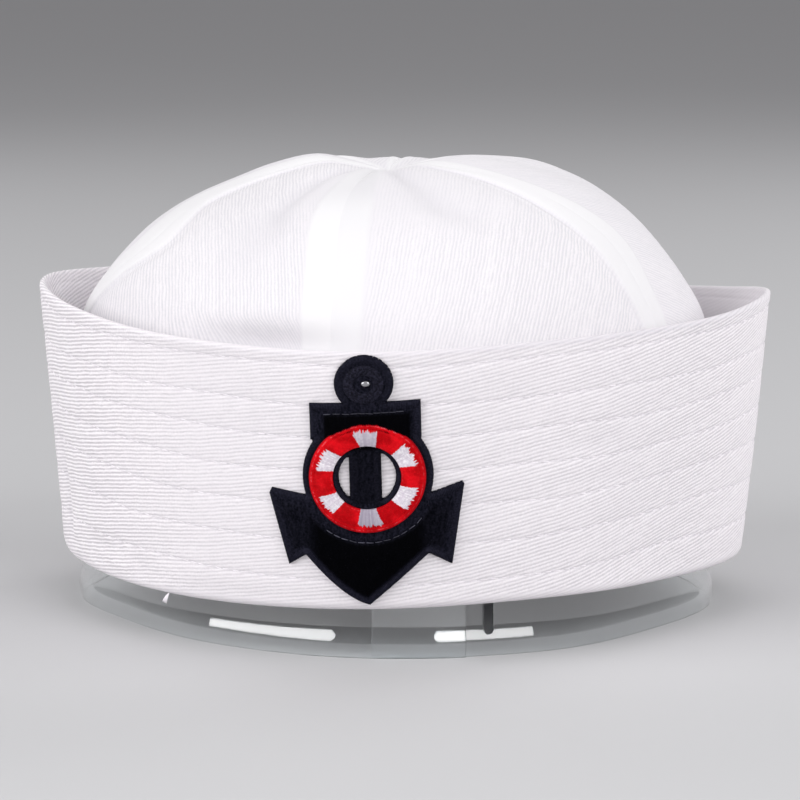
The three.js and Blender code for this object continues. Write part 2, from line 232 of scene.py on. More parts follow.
world = bpy.data.worlds.new("world")
world.use_nodes = True
world.node_tree.nodes["Background"].inputs["Color"].default_value = (*WORLD_COLOUR, 1)
world.node_tree.nodes["Background"].inputs["Strength"].default_value = WORLD_STRENGTH
bpy.context.scene.world = world
bpy.context.scene.view_settings.view_transform = "Standard"

for name, (azimuth, distance, height, width, tall, power) in SOFT_BOXES.items():
    light_data = bpy.data.lights.new(name, "AREA")
    light_data.shape = "RECTANGLE"
    light_data.size = width
    light_data.size_y = tall
    light_data.energy = power
    light = bpy.data.objects.new(name, light_data)
    light.location = turned(azimuth, distance, height)
    lean = np.arctan2(distance, height - AIM_HEIGHT)
    light.rotation_euler = (lean, 0, np.radians(azimuth))
    # The side box lights the cloth, but no gloss shows it and it isn't seen through the strip.
    light.visible_glossy = name != "side_box"
    light.visible_transmission = name != "side_box"
    bpy.context.scene.collection.objects.link(light)

# ---- The clear strip ----
# A strip of clear plastic sheet, bent to a ring so that its ends lap, with an upright slot that
# starts near its foot. It springs out against the inside of the crown and holds the hat up.
STRIP_THICKNESS = 0.8
STRIP_HEIGHT = 45
LAP = {"end": 17, "degrees": 16, "ease": 30}
SLOT = {"azimuth": 21.2, "width": 2.7, "bottom": 5.7}
STRIP_AIR = 0.45  # between the strip and the cloth round it
# The sheet has taken a soft bulge all round, low down, where it carries the hat.
BULGE = {"depth": 1.0, "height": 3.2, "spread": 3.2}
AIR = 0.3  # between other neighbouring pieces
# How many columns go round the strip and how many crowd into the slot, the degrees kept clear
# beside those, how many rows lie below and above the slot's round bottom, and the power by
# which the rows above crowd towards it.
STRIP_GRID = {"round": 500, "slot": 13, "clear": 0.3, "low": 16, "high": 22, "crowding": 1.3}
EDGE_ROUND = {"width": 0.18, "segments": 2, "angle": 50}
SHARP_ANGLE = 55
PLASTIC = {"surface": (0.97, 0.985, 0.99), "shadow": (0.93, 0.95, 0.96), "ior": 1.6}


def ease(low, high, value):
    """0 below low, 1 above high, and a smooth step between."""
    t = np.clip((value - low) / (high - low), 0, 1)
    return t * t * (3 - 2 * t)


def bell(value, width, other=0, other_width=1):
    """1 where the value, and any other one, is 0, falling off as a bell curve of these widths."""
    return np.exp(-((value / width) ** 2) - (other / other_width) ** 2)


def grid_faces(rows, columns, wrap_rows=False, wrap_columns=False):
    """Each face's corner rows and columns, facing out where rows rise and columns go round."""
    row, column = np.mgrid[0 : rows - 1 + wrap_rows, 0 : columns - 1 + wrap_columns]
    corner_rows = np.stack([row, row, row + 1, row + 1], -1).reshape(-1, 4)
    corner_columns = np.stack([column, column + 1, column + 1, column], -1).reshape(-1, 4)
    return corner_rows, corner_columns


def make_piece(name, points, faces, finish, slot, uv=None, attributes=None, replaces=()):
    """A smooth mesh of points in millimetres, riding on the hat's one body.

    Faces are rows of four point numbers, and uv gives their corners' places on the cloth.
    """
    mesh = bpy.data.meshes.new(name)
    points = np.asarray(points, float).reshape(-1, 3)
    mesh.vertices.add(len(points))
    mesh.vertices.foreach_set("co", (points / 1000).ravel())
    mesh.loops.add(faces.size)
    mesh.loops.foreach_set("vertex_index", faces.ravel())
    mesh.polygons.add(len(faces))
    mesh.polygons.foreach_set("loop_start", np.arange(0, faces.size, 4))
    mesh.update(calc_edges=True)
    mesh.polygons.foreach_set("use_smooth", np.ones(len(faces), bool))
    mesh.set_sharp_from_angle(angle=np.radians(SHARP_ANGLE))
    if uv is not None:
        layer = mesh.uv_layers.new(name="cloth")
        layer.data.foreach_set("uv", np.asarray(uv, float).ravel())
    for attribute, values in (attributes or {}).items():
        layer = mesh.attributes.new(attribute, "FLOAT", "POINT")
        layer.data.foreach_set("value", np.asarray(values, float).ravel())
    mesh.materials.append(finish.material)
    piece = bpy.data.objects.new(name, mesh)
    bpy.context.scene.collection.objects.link(piece)
    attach(piece, "root")
    if replaces:
        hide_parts(*replaces)
    return piece


def only_used(faces):
    """The numbers of the points that some faces use, and the faces numbered by those alone."""
    used, numbers = np.unique(faces, return_inverse=True)
    return used, numbers.reshape(faces.shape)


def shell_faces(faces, count):
    """A closed plate's faces: one side's, the same facing back, and a wall at every free edge.

    The back's points are numbered as the front's plus count.
    """
    edges = np.concatenate([faces[:, [k, (k + 1) % 4]] for k in range(4)])
    keys = np.sort(edges, axis=1)
    _, first, times = np.unique(keys, axis=0, return_index=True, return_counts=True)
    free = edges[first[times == 1]]
    walls = np.stack([free[:, 1], free[:, 0], free[:, 0] + count, free[:, 1] + count], -1)
    return np.concatenate([faces, faces[:, ::-1] + count, walls])


def strip_surface():
    """The strip's outer and inner points on one grid, and the faces that its slot leaves.

    Columns go round and a few crowd into the slot. Rows divide the height below the slot's
    round bottom, then the height above it, where the slot's own cells are left out. The radius
    is the plan's, less where the end is tucked under the lap, plus a bell curve of the height.
    """
    start = LAP["end"] - 360 - LAP["degrees"]
    half = SLOT["width"] / 2
    per_degree = np.radians(plan("strip", SLOT["azimuth"]))
    in_slot = SLOT["azimuth"] + np.linspace(-half, half, STRIP_GRID["slot"]) / per_degree
    around = np.linspace(start, LAP["end"] - 1e-6, STRIP_GRID["round"])
    # The slot lies beyond the lap's end, so its place along the strip is a turn further back.
    in_slot = in_slot - 360
    clear = np.abs(around - in_slot.mean()) > half / per_degree + STRIP_GRID["clear"]
    azimuth = np.sort(np.concatenate([around[clear], in_slot]))
    x = (azimuth - in_slot.mean()) * per_degree
    rounding = np.sqrt(np.clip(half**2 - x**2, 0, None)) * (np.abs(x) <= half)
    bottom = SLOT["bottom"] + half - rounding
    low = bottom * np.linspace(0, 1, STRIP_GRID["low"] + 1)[:, None]
    share = np.linspace(0, 1, STRIP_GRID["high"] + 1)[1:, None] ** STRIP_GRID["crowding"]
    high = bottom + (STRIP_HEIGHT - bottom) * share
    height = np.concatenate([low, high])
    lapped = start + LAP["degrees"]
    tucked = 1 - ease(lapped, lapped + LAP["ease"], azimuth)
    radius = plan("strip", azimuth) - tucked * (STRIP_THICKNESS + AIR)
    radius = radius + BULGE["depth"] * bell(height - BULGE["height"], BULGE["spread"])
    outer = on_hat(azimuth, radius, height)
    inner = on_hat(azimuth, radius - STRIP_THICKNESS, height)
    rows, columns = grid_faces(*height.shape)
    middle = np.abs((x[columns[:, 0]] + x[columns[:, 1]]) / 2) < half
    kept = ~(middle & (rows[:, 0] >= STRIP_GRID["low"]))
    faces = (rows * len(azimuth) + columns)[kept]
    return outer, inner, faces


clear_plastic = Finish(
    "clear_plastic",
    Base_Color=PLASTIC["surface"],
    Roughness=0.03,
    IOR=PLASTIC["ior"],
    Transmission_Weight=1.0,
    Coat_Weight=1.0,
    Coat_IOR=PLASTIC["ior"],
)
shade = clear_plastic.node("BsdfTransparent", None, {"Color": PLASTIC["shadow"]})
is_shadow = clear_plastic.node("LightPath", None, None, "Is Shadow Ray")
surface = Value(clear_plastic, clear_plastic.surface.outputs[0])
blend = clear_plastic.node("MixShader", None, {0: is_shadow, 1: surface, 2: shade})
clear_plastic.feed(blend, clear_plastic.tree.nodes["Material Output"].inputs["Surface"])

outer, inner, faces = strip_surface()
used, faces = only_used(faces)
strip = make_piece(
    "clear_strip",
    np.concatenate([side.reshape(-1, 3)[used] for side in (outer, inner)]),
    shell_faces(faces, len(used)),
    clear_plastic,
    "clear_plastic",
    replaces=["stand_strip"],
)
edge_round = strip.modifiers.new("edge_round", "BEVEL")
edge_round.width = EDGE_ROUND["width"] / 1000
edge_round.segments = EDGE_ROUND["segments"]
edge_round.limit_method = "ANGLE"
edge_round.angle_limit = np.radians(EDGE_ROUND["angle"])

# ---- The brim ----
# Two plies of white cotton twill folded at the rim, quilted by seven rows of stitching, and
# turned up all round the crown. Its lower edge bends in under the crown, where it is sewn on.
BRIM_PLIES = 1.8
BRIM_HEIGHT = 72
STITCH_ROWS = np.array([3.7, 14.2, 22.8, 32.1, 41.5, 51.4, 62.1])  # below the rim
QUILT = {"groove": 0.2, "groove_width": 0.42, "puff": 0.10, "puff_width": 2.4}
QUILT_SHADE = {"depth": 0.38, "width": 0.35}
# Long soft waves of the whole wall: waves round the hat, waves down the wall, phase, depth.
WALL_WAVES = [
    (3, 0.6, 0.4, 0.30),
    (7, 0.9, 2.1, 0.16),
    (13, 1.4, 4.0, 0.08),
    (22, 2.0, 1.2, 0.05),
]
# Soft dents and, where the depth is below 0, bulges: azimuth, way below the rim, spread in
# degrees, spread in millimetres, depth.
DENTS = [
    (-76, 57, 2.0, 13, 1.3),
    (-71.5, 66, 2.6, 5, -0.8),
    (-60, 65, 4.5, 1.6, 0.6),
    (-54, 69.5, 4.5, 2.2, -0.9),
    (-46, 68.5, 3.0, 3.0, 0.6),
    (-15, 20, 9, 17, 0.5),
    (-74, 33, 6, 16, 0.35),
    (37.5, 28.5, 7, 2.8, 0.5),
    (40, 38.3, 6, 2.4, 0.4),
]
# Small ripples that the thread's pull leaves along each row: length and depth.
RIPPLES = [(4.3, 0.03), (6.1, 0.04), (9.7, 0.05)]
RIPPLE = {"slant": 0.6, "fade": 3.0}
BRIM_COLUMNS = 512
# How far the rows of stitches stray: the distance, the waves round the hat, and the millimetres
# down the wall in which the wave moves on by a radian.
STRAYS = [(0.30, 5, 9), (0.2, 11, 5)]
# Where rows of the grid lie beside each row of stitches, in millimetres from it.
BESIDE_STITCHES = np.array([-3.4, -2.3, -1.4, -0.8, -0.4, 0, 0.4, 0.8, 1.4, 2.3, 3.4])
NOT_OUTSIDE = -9  # stands for the way below the rim where a point isn't on the outer face
TWILL_PITCH = 1.04
# How far the wales climb, in degrees, and how strongly they show, by azimuth.
TWILL_CLIMB = {"mean": 12.5, "to_the_right": 1.2, "at_the_front": -3.0}
WEAVE_AZIMUTHS = [-180, -90, -66, -56, -45, -28, 18, 40, 55, 68, 80, 105, 180]
WEAVE_SHOWS = [0.8, 1.75, 1.75, 1.75, 0.95, 0.48, 0.6, 0.75, 0.93, 0.9, 0.65, 0.8, 0.8]
WEAVE_INSIDE = 0.5
# The rim gets painted shade at the front right, and at the right the inner face gets painted
# light and its weave shows less: by how much, at which azimuth, and the spread in degrees.
RIM_PAINTED_SHADE = (0.8, 40, 55)
INSIDE_PAINTED_LIGHT = (0.4, 104, 13)
INSIDE_SMOOTHER = (0.36, 115, 35)
DENT_SHADE = 0.3
BRIM_COTTON = {"ridge": (0.96, 0.92, 0.95), "valley": (0.64, 0.605, 0.64), "relief": 0.09}
# The colour that painted shade goes towards, and how strongly it is mixed in.
FOLD_SHADE = {"colour": (0.40, 0.385, 0.44), "strength": 0.35}
chance = np.random.default_rng(7)


def wall_line(azimuth):
    """The outer face's straight line at an azimuth: its foot, its rim and its length."""
    foot = np.stack([plan("fold", azimuth), plan("fold_height", azimuth) + plan("bend", azimuth)])
    rim = np.stack([plan("rim", azimuth), plan("rim_height", azimuth)])
    return foot, rim, np.linalg.norm(rim - foot, axis=0)


def round_length(azimuth):
    """The way round the hat from the back to an azimuth, at the middle of the brim."""
    steps = np.arange(-180, 181)
    mean = (plan("fold", steps) + plan("rim", steps)) / 2
    run = np.concatenate([[0], np.cumsum((mean[1:] + mean[:-1]) / 2 * np.radians(1))])
    return np.interp(azimuth, steps, run)


row_phases = chance.uniform(0, 2 * np.pi, (len(STITCH_ROWS), len(RIPPLES)))


def wander(azimuth, below_rim):
    """How far a row of stitches strays down the wall from its own place, as two sine waves."""
    turn = np.radians(azimuth)
    return sum(far * np.sin(waves * turn + below_rim / down) for far, waves, down in STRAYS)


def dents(azimuth, below_rim):
    """Each dent's depth, and its bell curve across and down the wall."""
    for centre, down, spread, down_spread, depth in DENTS:
        yield depth, bell(azimuth - centre, spread, below_rim - down, down_spread)


def waves(azimuth, below_rim):
    """The wall's long sine waves and its dents, which all die away at the rim."""
    out = 0
    for turns, down, phase, depth in WALL_WAVES:
        turn = np.radians(azimuth) * turns + phase + below_rim / BRIM_HEIGHT * down * np.pi
        out = out + depth * np.sin(turn)
    for depth, curve in dents(azimuth, below_rim):
        out = out - depth * curve
    return out * ease(0, 6, below_rim)


def relief(azimuth, below_rim):
    """How far the cloth stands out from the wall's straight line.

    The long waves, a groove along each row of stitches, a puff between the rows, and ripples
    that fade away from each row.
    """
    row = np.abs(below_rim[..., None] - STITCH_ROWS).argmin(-1)
    off = below_rim - STITCH_ROWS[row]
    out = QUILT["puff"] * (1 - bell(off, QUILT["puff_width"]))
    out = out - QUILT["groove"] * bell(off, QUILT["groove_width"])
    run = round_length(azimuth)
    for k, (length, depth) in enumerate(RIPPLES):
        wave = np.sin(2 * np.pi * (run + RIPPLE["slant"] * off) / length + row_phases[row, k])
        out = out + depth * wave * bell(off, RIPPLE["fade"])
    return out * ease(0, 3.5, below_rim) + waves(azimuth, below_rim)


def wall_point(azimuth, below_rim, out=0.0):
    """A point this far below the rim on the outer face, and this far out from it."""
    foot, rim, length = wall_line(azimuth)
    along = (foot - rim) / length
    radius = rim[0] + along[0] * below_rim - along[1] * out
    height = rim[1] + along[1] * below_rim + along[0] * out
    return on_hat(azimuth, radius, height)


def brim_section(azimuth):
    """The brim's closed section at each azimuth: radii, heights and, outside, the way down.

    It runs out along the lip's underside, round the bend, up the outer face, over the rim,
    down the inner face, and back along the lip's upper side.
    """
    foot, rim, length = wall_line(azimuth)
    bend = plan("bend", azimuth)
    lip_height = plan("fold_height", azimuth)
    lip_inner = plan("strip", azimuth) + STRIP_AIR
    up = (rim - foot) / length
    inward = np.stack([-up[1], up[0]])
    half = BRIM_PLIES / 2
    rows_down = np.concatenate([[half, 1.4], (STITCH_ROWS[:, None] + BESIDE_STITCHES).ravel()])
    rows_down = np.sort(rows_down[rows_down >= half])
    quarters = np.linspace(0, 1, 5)[:-1, None]
    bend_across = np.minimum(bend, foot[0] - lip_inner - AIR)
    lip_outer = foot[0] - bend_across
    bend_middle = lip_height + bend
    lip = [lip_inner + (lip_outer - lip_inner) * quarters, lip_height + 0 * quarters]
    turn = np.radians(np.linspace(-90, 0, 9))[:-1, None]
    outer_bend = [lip_outer + bend_across * np.cos(turn), bend_middle + bend * np.sin(turn)]
    foot_rows = length + (rows_down[-1] - length) * quarters
    below = np.concatenate([foot_rows, rows_down[::-1, None] + 0 * length])
    shifted = below + wander(azimuth, below) * ease(0, 5, below) * ease(0, 5, length - below)
    lift = relief(azimuth, below) * ease(-1, 5, length - below)
    outer_face = rim[:, None] - up[:, None] * shifted - inward[:, None] * lift
    turn = np.radians(np.linspace(0, 180, 7))[1:-1, None]
    middle = rim - up * half + inward * half
    rim_fold = [
        middle[k] - inward[k] * half * np.cos(turn) + up[k] * half * np.sin(turn) for k in (0, 1)
    ]
    inner_face = rim[:, None] - up[:, None] * shifted + inward[:, None] * (BRIM_PLIES + 0.5 * lift)
    turn = np.radians(np.linspace(0, -90, 5))[1:, None]
    across, rise = bend_across - BRIM_PLIES, bend - BRIM_PLIES
    inner_bend = [lip_outer + across * np.cos(turn), bend_middle + rise * np.sin(turn)]
    back = np.linspace(1, 0, 5)[1:, None]
    lip_back = [lip_inner + (lip_outer - lip_inner) * back, lip_height + BRIM_PLIES + 0 * back]
    parts = [
        (*lip, NOT_OUTSIDE),
        (*outer_bend, NOT_OUTSIDE),
        (*outer_face, below),
        (*rim_fold, NOT_OUTSIDE),
        (*inner_face[:, ::-1], NOT_OUTSIDE),
        (*inner_bend, NOT_OUTSIDE),
        (*lip_back, NOT_OUTSIDE),
    ]
    return (np.concatenate([part[k] + 0 * part[0] for part in parts]) for k in (0, 1, 2))


def by_azimuth(azimuth, amount, middle, spread):
    """An amount that falls off round the hat as a bell curve about its middle."""
    return amount * bell(azimuth - middle, spread)


def twill_finish(name, cotton, pitch, stray, broken):
    """White cotton twill on a cloth map in millimetres, whose wales run along its first axis.

    The wales are rounded ridges with a narrow shaded valley between them. They stray a little,
    and each is broken into yarn lengths of its own. An attribute says how strongly it all shows.
    Where the cotton has a band colour, that covers the cloth near seams. The shade attribute
    paints shade into folds and other shaded places, and where it is below 0 it paints light.
    """
    finish = Finish(name, Roughness=0.92, Sheen_Weight=0.12, Sheen_Roughness=0.5)
    cloth = finish.node("UVMap", {"uv_map": "cloth"})
    along = finish.node("SeparateXYZ", None, {0: cloth})
    across = Value(finish, along.socket.node.outputs[1])
    place = across * (1.0 / pitch) + stray * finish.noise(cloth, 0.16, 2.0)
    ridge = 0.5 + 0.5 * finish.maths("SINE", place * (2 * np.pi))
    wale = finish.maths("FLOOR", place + 0.25)
    own = finish.node("TexWhiteNoise", {"noise_dimensions": "1D"}, {"W": wale})
    lengths = finish.node("CombineXYZ", None, {0: along * 0.3, 1: place, 2: own * 9.0})
    streak = 2.2 * finish.noise(lengths, 1.0, 1.0) - 1.1
    grain = finish.noise(cloth, 1.5, 2.0)
    dark = (1.0 - ridge) * (1.0 + broken * (streak + 0.6 * own - 0.3)) + (1.1 * grain - 0.55)
    shows = finish.attribute("weave")
    shading_to_paint = finish.attribute("shade")
    tone = 0.5 + (dark - 0.5) * shows + finish.maths("MINIMUM", shading_to_paint, 0.0)
    cloth_colour = finish.mix(tone, cotton["ridge"], cotton["valley"])
    height = (ridge * (0.8 + 0.2 * broken * streak) + 0.3 * grain) * shows
    if "band" in cotton:
        from_band = finish.attribute("from_band")
        away = finish.ramp(from_band, -1.0, 0.8)
        cloth_colour = finish.mix(away, cotton["band"], cloth_colour)
        height = height * (0.15 + 0.85 * away)
    shaded = finish.mix(shading_to_paint * FOLD_SHADE["strength"], cloth_colour, FOLD_SHADE["colour"])
    finish.set(Base_Color=shaded)
    finish.set(Normal=finish.bump(height, cotton["relief"]))
    return finish


brim_cotton = twill_finish("brim_twill", BRIM_COTTON, TWILL_PITCH, stray=0.5, broken=0.6)

azimuth = np.linspace(-180, 180, BRIM_COLUMNS + 1)

radius, height, below = brim_section(azimuth)
points = on_hat(azimuth, radius, height)
ring_step = np.linalg.norm(np.diff(points, axis=0, append=points[:1]), axis=2)
up_cloth = np.concatenate([0 * ring_step[:1], np.cumsum(ring_step, axis=0)])
up_cloth = up_cloth - up_cloth[len(below) // 2 - 8]
run = round_length(azimuth)
turn = np.radians(azimuth)
slope = TWILL_CLIMB["mean"] + TWILL_CLIMB["to_the_right"] * np.sin(turn)
slope = np.tan(np.radians(slope + TWILL_CLIMB["at_the_front"] * np.cos(turn)))
# The climb is stretched to a whole number of wales, so that they meet at the back.
climb = np.concatenate([[0], np.cumsum((slope[1:] + slope[:-1]) / 2 * np.diff(run))])
climb *= np.round(climb[-1] / TWILL_PITCH) * TWILL_PITCH / climb[-1]
cloth_map = np.stack(np.broadcast_arrays(run, up_cloth - climb), -1)
from_stitches = abs(below[..., None] - STITCH_ROWS).min(-1)
in_dents = sum(max(depth, 0) * curve for depth, curve in dents(azimuth, below))
# Painted shade along the rows of stitches, in the dents and on the rim at the front right, and
# painted light, where the value is below 0, that whitens the inner face at the right.
painted_shading = QUILT_SHADE["depth"] * bell(from_stitches, QUILT_SHADE["width"]) + DENT_SHADE * in_dents
at_rim = ease(-1.9, -0.5, height - plan("rim_height", azimuth))
painted_shading = painted_shading + by_azimuth(azimuth, *RIM_PAINTED_SHADE) * at_rim
outside = below > NOT_OUTSIDE
# Painted light whitens the inner face at the right.
whiter = by_azimuth(azimuth, *INSIDE_PAINTED_LIGHT) * ease(25, 35, height)
painted_shading = painted_shading - np.where(outside, 0, whiter)
shows_inside = WEAVE_INSIDE - by_azimuth(azimuth, *INSIDE_SMOOTHER)
shows = np.interp(azimuth, WEAVE_AZIMUTHS, WEAVE_SHOWS) * np.where(outside, 1, shows_inside)

rows, columns = grid_faces(len(radius), BRIM_COLUMNS, wrap_rows=True, wrap_columns=True)
make_piece(
    "brim_wall",
    points[:, :-1],
    (rows % len(radius)) * BRIM_COLUMNS + columns % BRIM_COLUMNS,
    brim_cotton,
    "brim_cotton",
    uv=cloth_map[rows, columns],
    attributes={"weave": shows[:, :-1].ravel(), "shade": painted_shading[:, :-1].ravel()},
    replaces=["brim"],
)

# ---- The brim's stitching ----
# Seven rows of lockstitch in white cotton thread, through both plies, and one loose thread end
# at the bottom fold.
STITCH = {"pitch": 3.05, "length": 2.2, "radius": 0.13, "rise": 0.06, "sunk": 0.02}
STITCH_STRAY = {"along": 0.08, "slant": 0.05}
# The loose end's three strands hang from one place a little inside the fold: where that is, and
# the strands' ways in the frame's x, y and z.
LOOSE_END = {"azimuth": -39.3, "length": 2.5, "radius": 0.26, "rise": 0.25}
LOOSE_FROM = {"inside": 0.6, "up": 0.4}
LOOSE_WAYS = np.array([[-0.5, -0.25, -0.9], [-0.3, -0.3, -1.0], [-0.65, -0.1, -0.75]])
BRIM_THREAD = {"shaded": (0.70, 0.665, 0.70), "pale": (0.89, 0.85, 0.89)}


def unit(vectors):
    """Vectors in the same directions, each 1 long."""
    return vectors / np.maximum(np.linalg.norm(vectors, axis=-1, keepdims=True), 1e-9)


def outward(azimuth):
    """The level direction away from the hat's axis."""
    return turned(azimuth, 1, 0) * [1, 1, 0]


def cap_faces(ring):
    """Quads that close each ring of an even number of points, two of its sides at a time."""
    last = ring.shape[-1] - 1
    k = np.arange(last // 2)
    corners = (k, k + 1, last - 1 - k, last - k)
    return np.stack([ring[..., corner] for corner in corners], -1)


def capped_faces(rows, columns):
    """The faces of a closed tube, with an even number of columns round it and two flat ends."""
    row, column = grid_faces(rows, columns, wrap_columns=True)
    ring = np.arange(columns)
    caps = [cap_faces(ring[::-1]), cap_faces(ring + (rows - 1) * columns)]
    return np.concatenate([row * columns + column % columns, *caps])


def thread_mesh(starts, ends, out, radius, rise):
    """Points and faces of short stitches, each a round thread with rounded ends.

    A stitch runs straight from its start to its end and rises between them as a half sine wave
    along out. Its radius falls off towards both ends.
    """
    t = np.array([0, 0.06, 0.3, 0.7, 0.94, 1.0])
    taper = np.array([0.15, 0.75, 1, 1, 0.75, 0.15])
    turn = np.radians(np.arange(0, 360, 60))
    along = (ends - starts)[:, None, None]
    out = unit(out)[:, None, None]
    side = unit(np.cross(along, out))
    lift = (np.sin(np.pi * t) * rise)[:, None, None]
    centre = starts[:, None, None] + along * t[:, None, None] + out * lift
    ring = side * np.cos(turn)[:, None] + out * np.sin(turn)[:, None]
    points = centre + ring * (taper * radius)[:, None, None]
    count, rows, columns = points.shape[:3]
    faces = capped_faces(rows, columns) + (np.arange(count) * rows * columns)[:, None, None]
    return points.reshape(-1, 3), faces.reshape(-1, 4)


brim_thread = Finish("brim_thread", Roughness=0.85)
place = brim_thread.place()
brim_thread.set(Normal=brim_thread.bump(brim_thread.noise(place, 2600, 1.0), 0.05))
tone = brim_thread.ramp(brim_thread.noise(place, 330, 1.0), 0.35, 0.65)
brim_thread.set(Base_Color=brim_thread.mix(tone, *BRIM_THREAD.values()))
starts, ends, out = [], [], []
count = int(round_length(180) / STITCH["pitch"])
half = STITCH["length"] / 2 / round_length(180) * 360
for below in STITCH_ROWS:
    stray = chance.uniform(-STITCH_STRAY["along"], STITCH_STRAY["along"], count)
    middle = (np.arange(count) + stray) * 360 / count - 180
    slant = chance.normal(0, STITCH_STRAY["slant"], count)
    for side, points in ((-1, starts), (1, ends)):
        azimuth = middle + side * half
        drop = below + side * slant
        lift = relief(azimuth, np.full(count, below)) - STITCH["sunk"]
        points.append(wall_point(azimuth, drop + wander(azimuth, below), lift))
    out.append(outward(middle))
lines = [np.concatenate(line) for line in (starts, ends, out)]
stitches = thread_mesh(*lines, STITCH["radius"], STITCH["rise"])
make_piece("brim_stitches", *stitches, brim_thread, "brim_cotton")

azimuth = LOOSE_END["azimuth"]
foot = on_hat(azimuth, plan("fold", azimuth) - LOOSE_FROM["inside"], plan("fold_height", azimuth))
loose_end = thread_mesh(
    foot + np.array([[0, 0, LOOSE_FROM["up"]]] * len(LOOSE_WAYS)),
    foot + unit(LOOSE_WAYS) * LOOSE_END["length"],
    outward(np.full(len(LOOSE_WAYS), azimuth)),
    LOOSE_END["radius"],
    LOOSE_END["rise"],
)
make_piece("loose_thread", *loose_end, brim_thread, "brim_cotton")

# ---- The crown ----
# Six gores of white cotton, sewn edge to edge. The seam allowances inside make a whiter,
# smoother and slightly raised band along each seam, and the single cloth sinks between them.
CROWN_CLOTH = 1.2
# The deepest that a crease may press the cloth's inside where the strip stands behind it, how
# much deeper it may above the strip, and the rows between which that changes.
STRIP_SIDE_SINK = 0.1
FREE_SINK = 9
STRIP_TOP_ROWS = (2.1, 3.2)
FOOT_AIR = 0.3  # added under the crown's bottom edge, over the brim's bend
# The heights began as figures from the same fit as the plan's, and most were then changed.
CROWN = {  # from the bottom edge to the meeting point of the seams
    "strip_share": [1, 1, 1, 0.4, 0.1, 0, 0, 0, 0, 0, 0, 0, 0, 0],
    "radius": [88, 88, 88, 86.4, 85, 79, 70, 62, 53, 42.6, 31.6, 20, 9.6, 0.05],
    "left": [14, 30, 47, 63, 79.3, 91.8, 101.4, 107.5, 112.5, 116.9, 121.1, 123.6, 121.9, 119.8],
    "right": [14, 30, 47, 63, 78.4, 90.6, 103.1, 111.1, 117.1, 121.0, 123.0, 123.4, 121.7, 119.8],
    "back_drop": [0, 0, 0, 0, 0, 0, 0, 0, 0.2, 0.2, 1.9, 1.8, 0.5, 0],
    "front_drop": [0, 0, 0, 0, 0, 0, 0, 0, 0.3, 0.9, 1.8, 2.5, 1.4, 0],
    "front_half_band": [8, 8, 8, 8, 8.2, 8.2, 8.2, 8.2, 7.4, 6.0, 4.6, 3.2, 2.0, 0.5],
    "half_band": [5.5, 5.5, 5.5, 5.5, 5.6, 6.2, 7.9, 7.2, 5.0, 3.6, 3.3, 2.6, 1.8, 0.5],
    "back_half_band": [5.5, 5.5, 5.5, 5.5, 5.5, 5.5, 5.4, 5.1, 4.7, 4.2, 3.6, 2.8, 1.8, 0.5],
    "far_half_band": [6, 6, 6, 7, 9, 11.5, 13, 12.5, 10.5, 8.3, 6.5, 4.6, 2.8, 0.5],
}
SEAMS = [  # each seam's azimuth at the same heights, from the hat's left, going round by the front
    [-81, -81, -81, -81, -80, -72, -63.5, -63.5, -66, -64, -60, -59, -58, -58],
    [-6.2, -6.2, -6.2, -6.2, -6.4, -6.7, -7, -7.4, -7.4, -7.2, -7, -7, -7, -7],
    [60, 60, 60, 60, 60, 60.4, 60.8, 57, 51, 45, 40, 38, 37, 37],
    [117] * 14,
    [175] * 14,
    [233] * 14,
]
CROWN_LEAN = {"across": -1.9, "from": 90, "to": 122}
FRONT_DROP_TURN = 7  # how far to the hat's left of its front the front drop is deepest
# The crown sits out a little at its left foot: how far, and where, with spreads.
FOOT_SWELL = {"out": 1.1, "azimuth": -95, "spread": 30, "row": 3.6, "row_spread": 0.9}
# Azimuth, row, spread in degrees, spread in rows, depth and shade of hollows in the cloth.
HOLLOWS = [
    (87, 9.0, 12, 1.6, 1.0, 0),
    (146, 9.2, 15, 2.0, 2.2, 0),
    (-156, 9.2, 15, 2.0, 2.2, 0),
    (-118, 9.3, 14, 1.8, 1.4, 0),
    (-19, 4.12, 13, 0.37, 3.6, 0.4),
    (-28, 6.7, 8, 1.2, 0.6, 0.3),
]
# The valleys that run down the two front gores from the top: rows, azimuths and half widths.
VALLEYS = [
    ([6.5, 7.1, 7.9, 9.1, 9.8, 10.6], [-23, -24.5, -27, -27, -27, -24], [4, 3.6, 3.2, 2.8, 2.5, 2]),
    ([6.5, 7.2, 7.8, 8.9, 10.6], [27, 24, 19.5, 16, 9], [9, 8, 6.5, 4.5, 2.2]),
]
# Their depth and shade, and the rows where they begin, are full, start to fade and are gone.
VALLEY = {"depth": 1.6, "shade": 0.3, "from": 6.4, "full": 8.0, "fades": 10.4, "to": 12.0}
BAND = {"raised": 0.3, "edge": 0.9, "groove": 0.12, "groove_width": 0.8}
BAND_SHADE = {"side": 0.15, "top": 0.35, "half": 0.2}
SEAM_DIP = {"depth": 1.2, "width": 2.2}  # how the seams draw in towards the top
# Beside two of the bands the cloth turns down sharply before it runs on: how far from the band
# that crease and the slope below it lie, how deep, wide and dark they are, and its full rows.
CREASE = {"beside": 0.6, "depth": 0.4, "half_width": 0.4, "shade": 0.45, "full": (6.0, 7.2)}
CREASE_SLOPE = {"beyond": 1.8, "depth": 0.6, "width": 2.6}
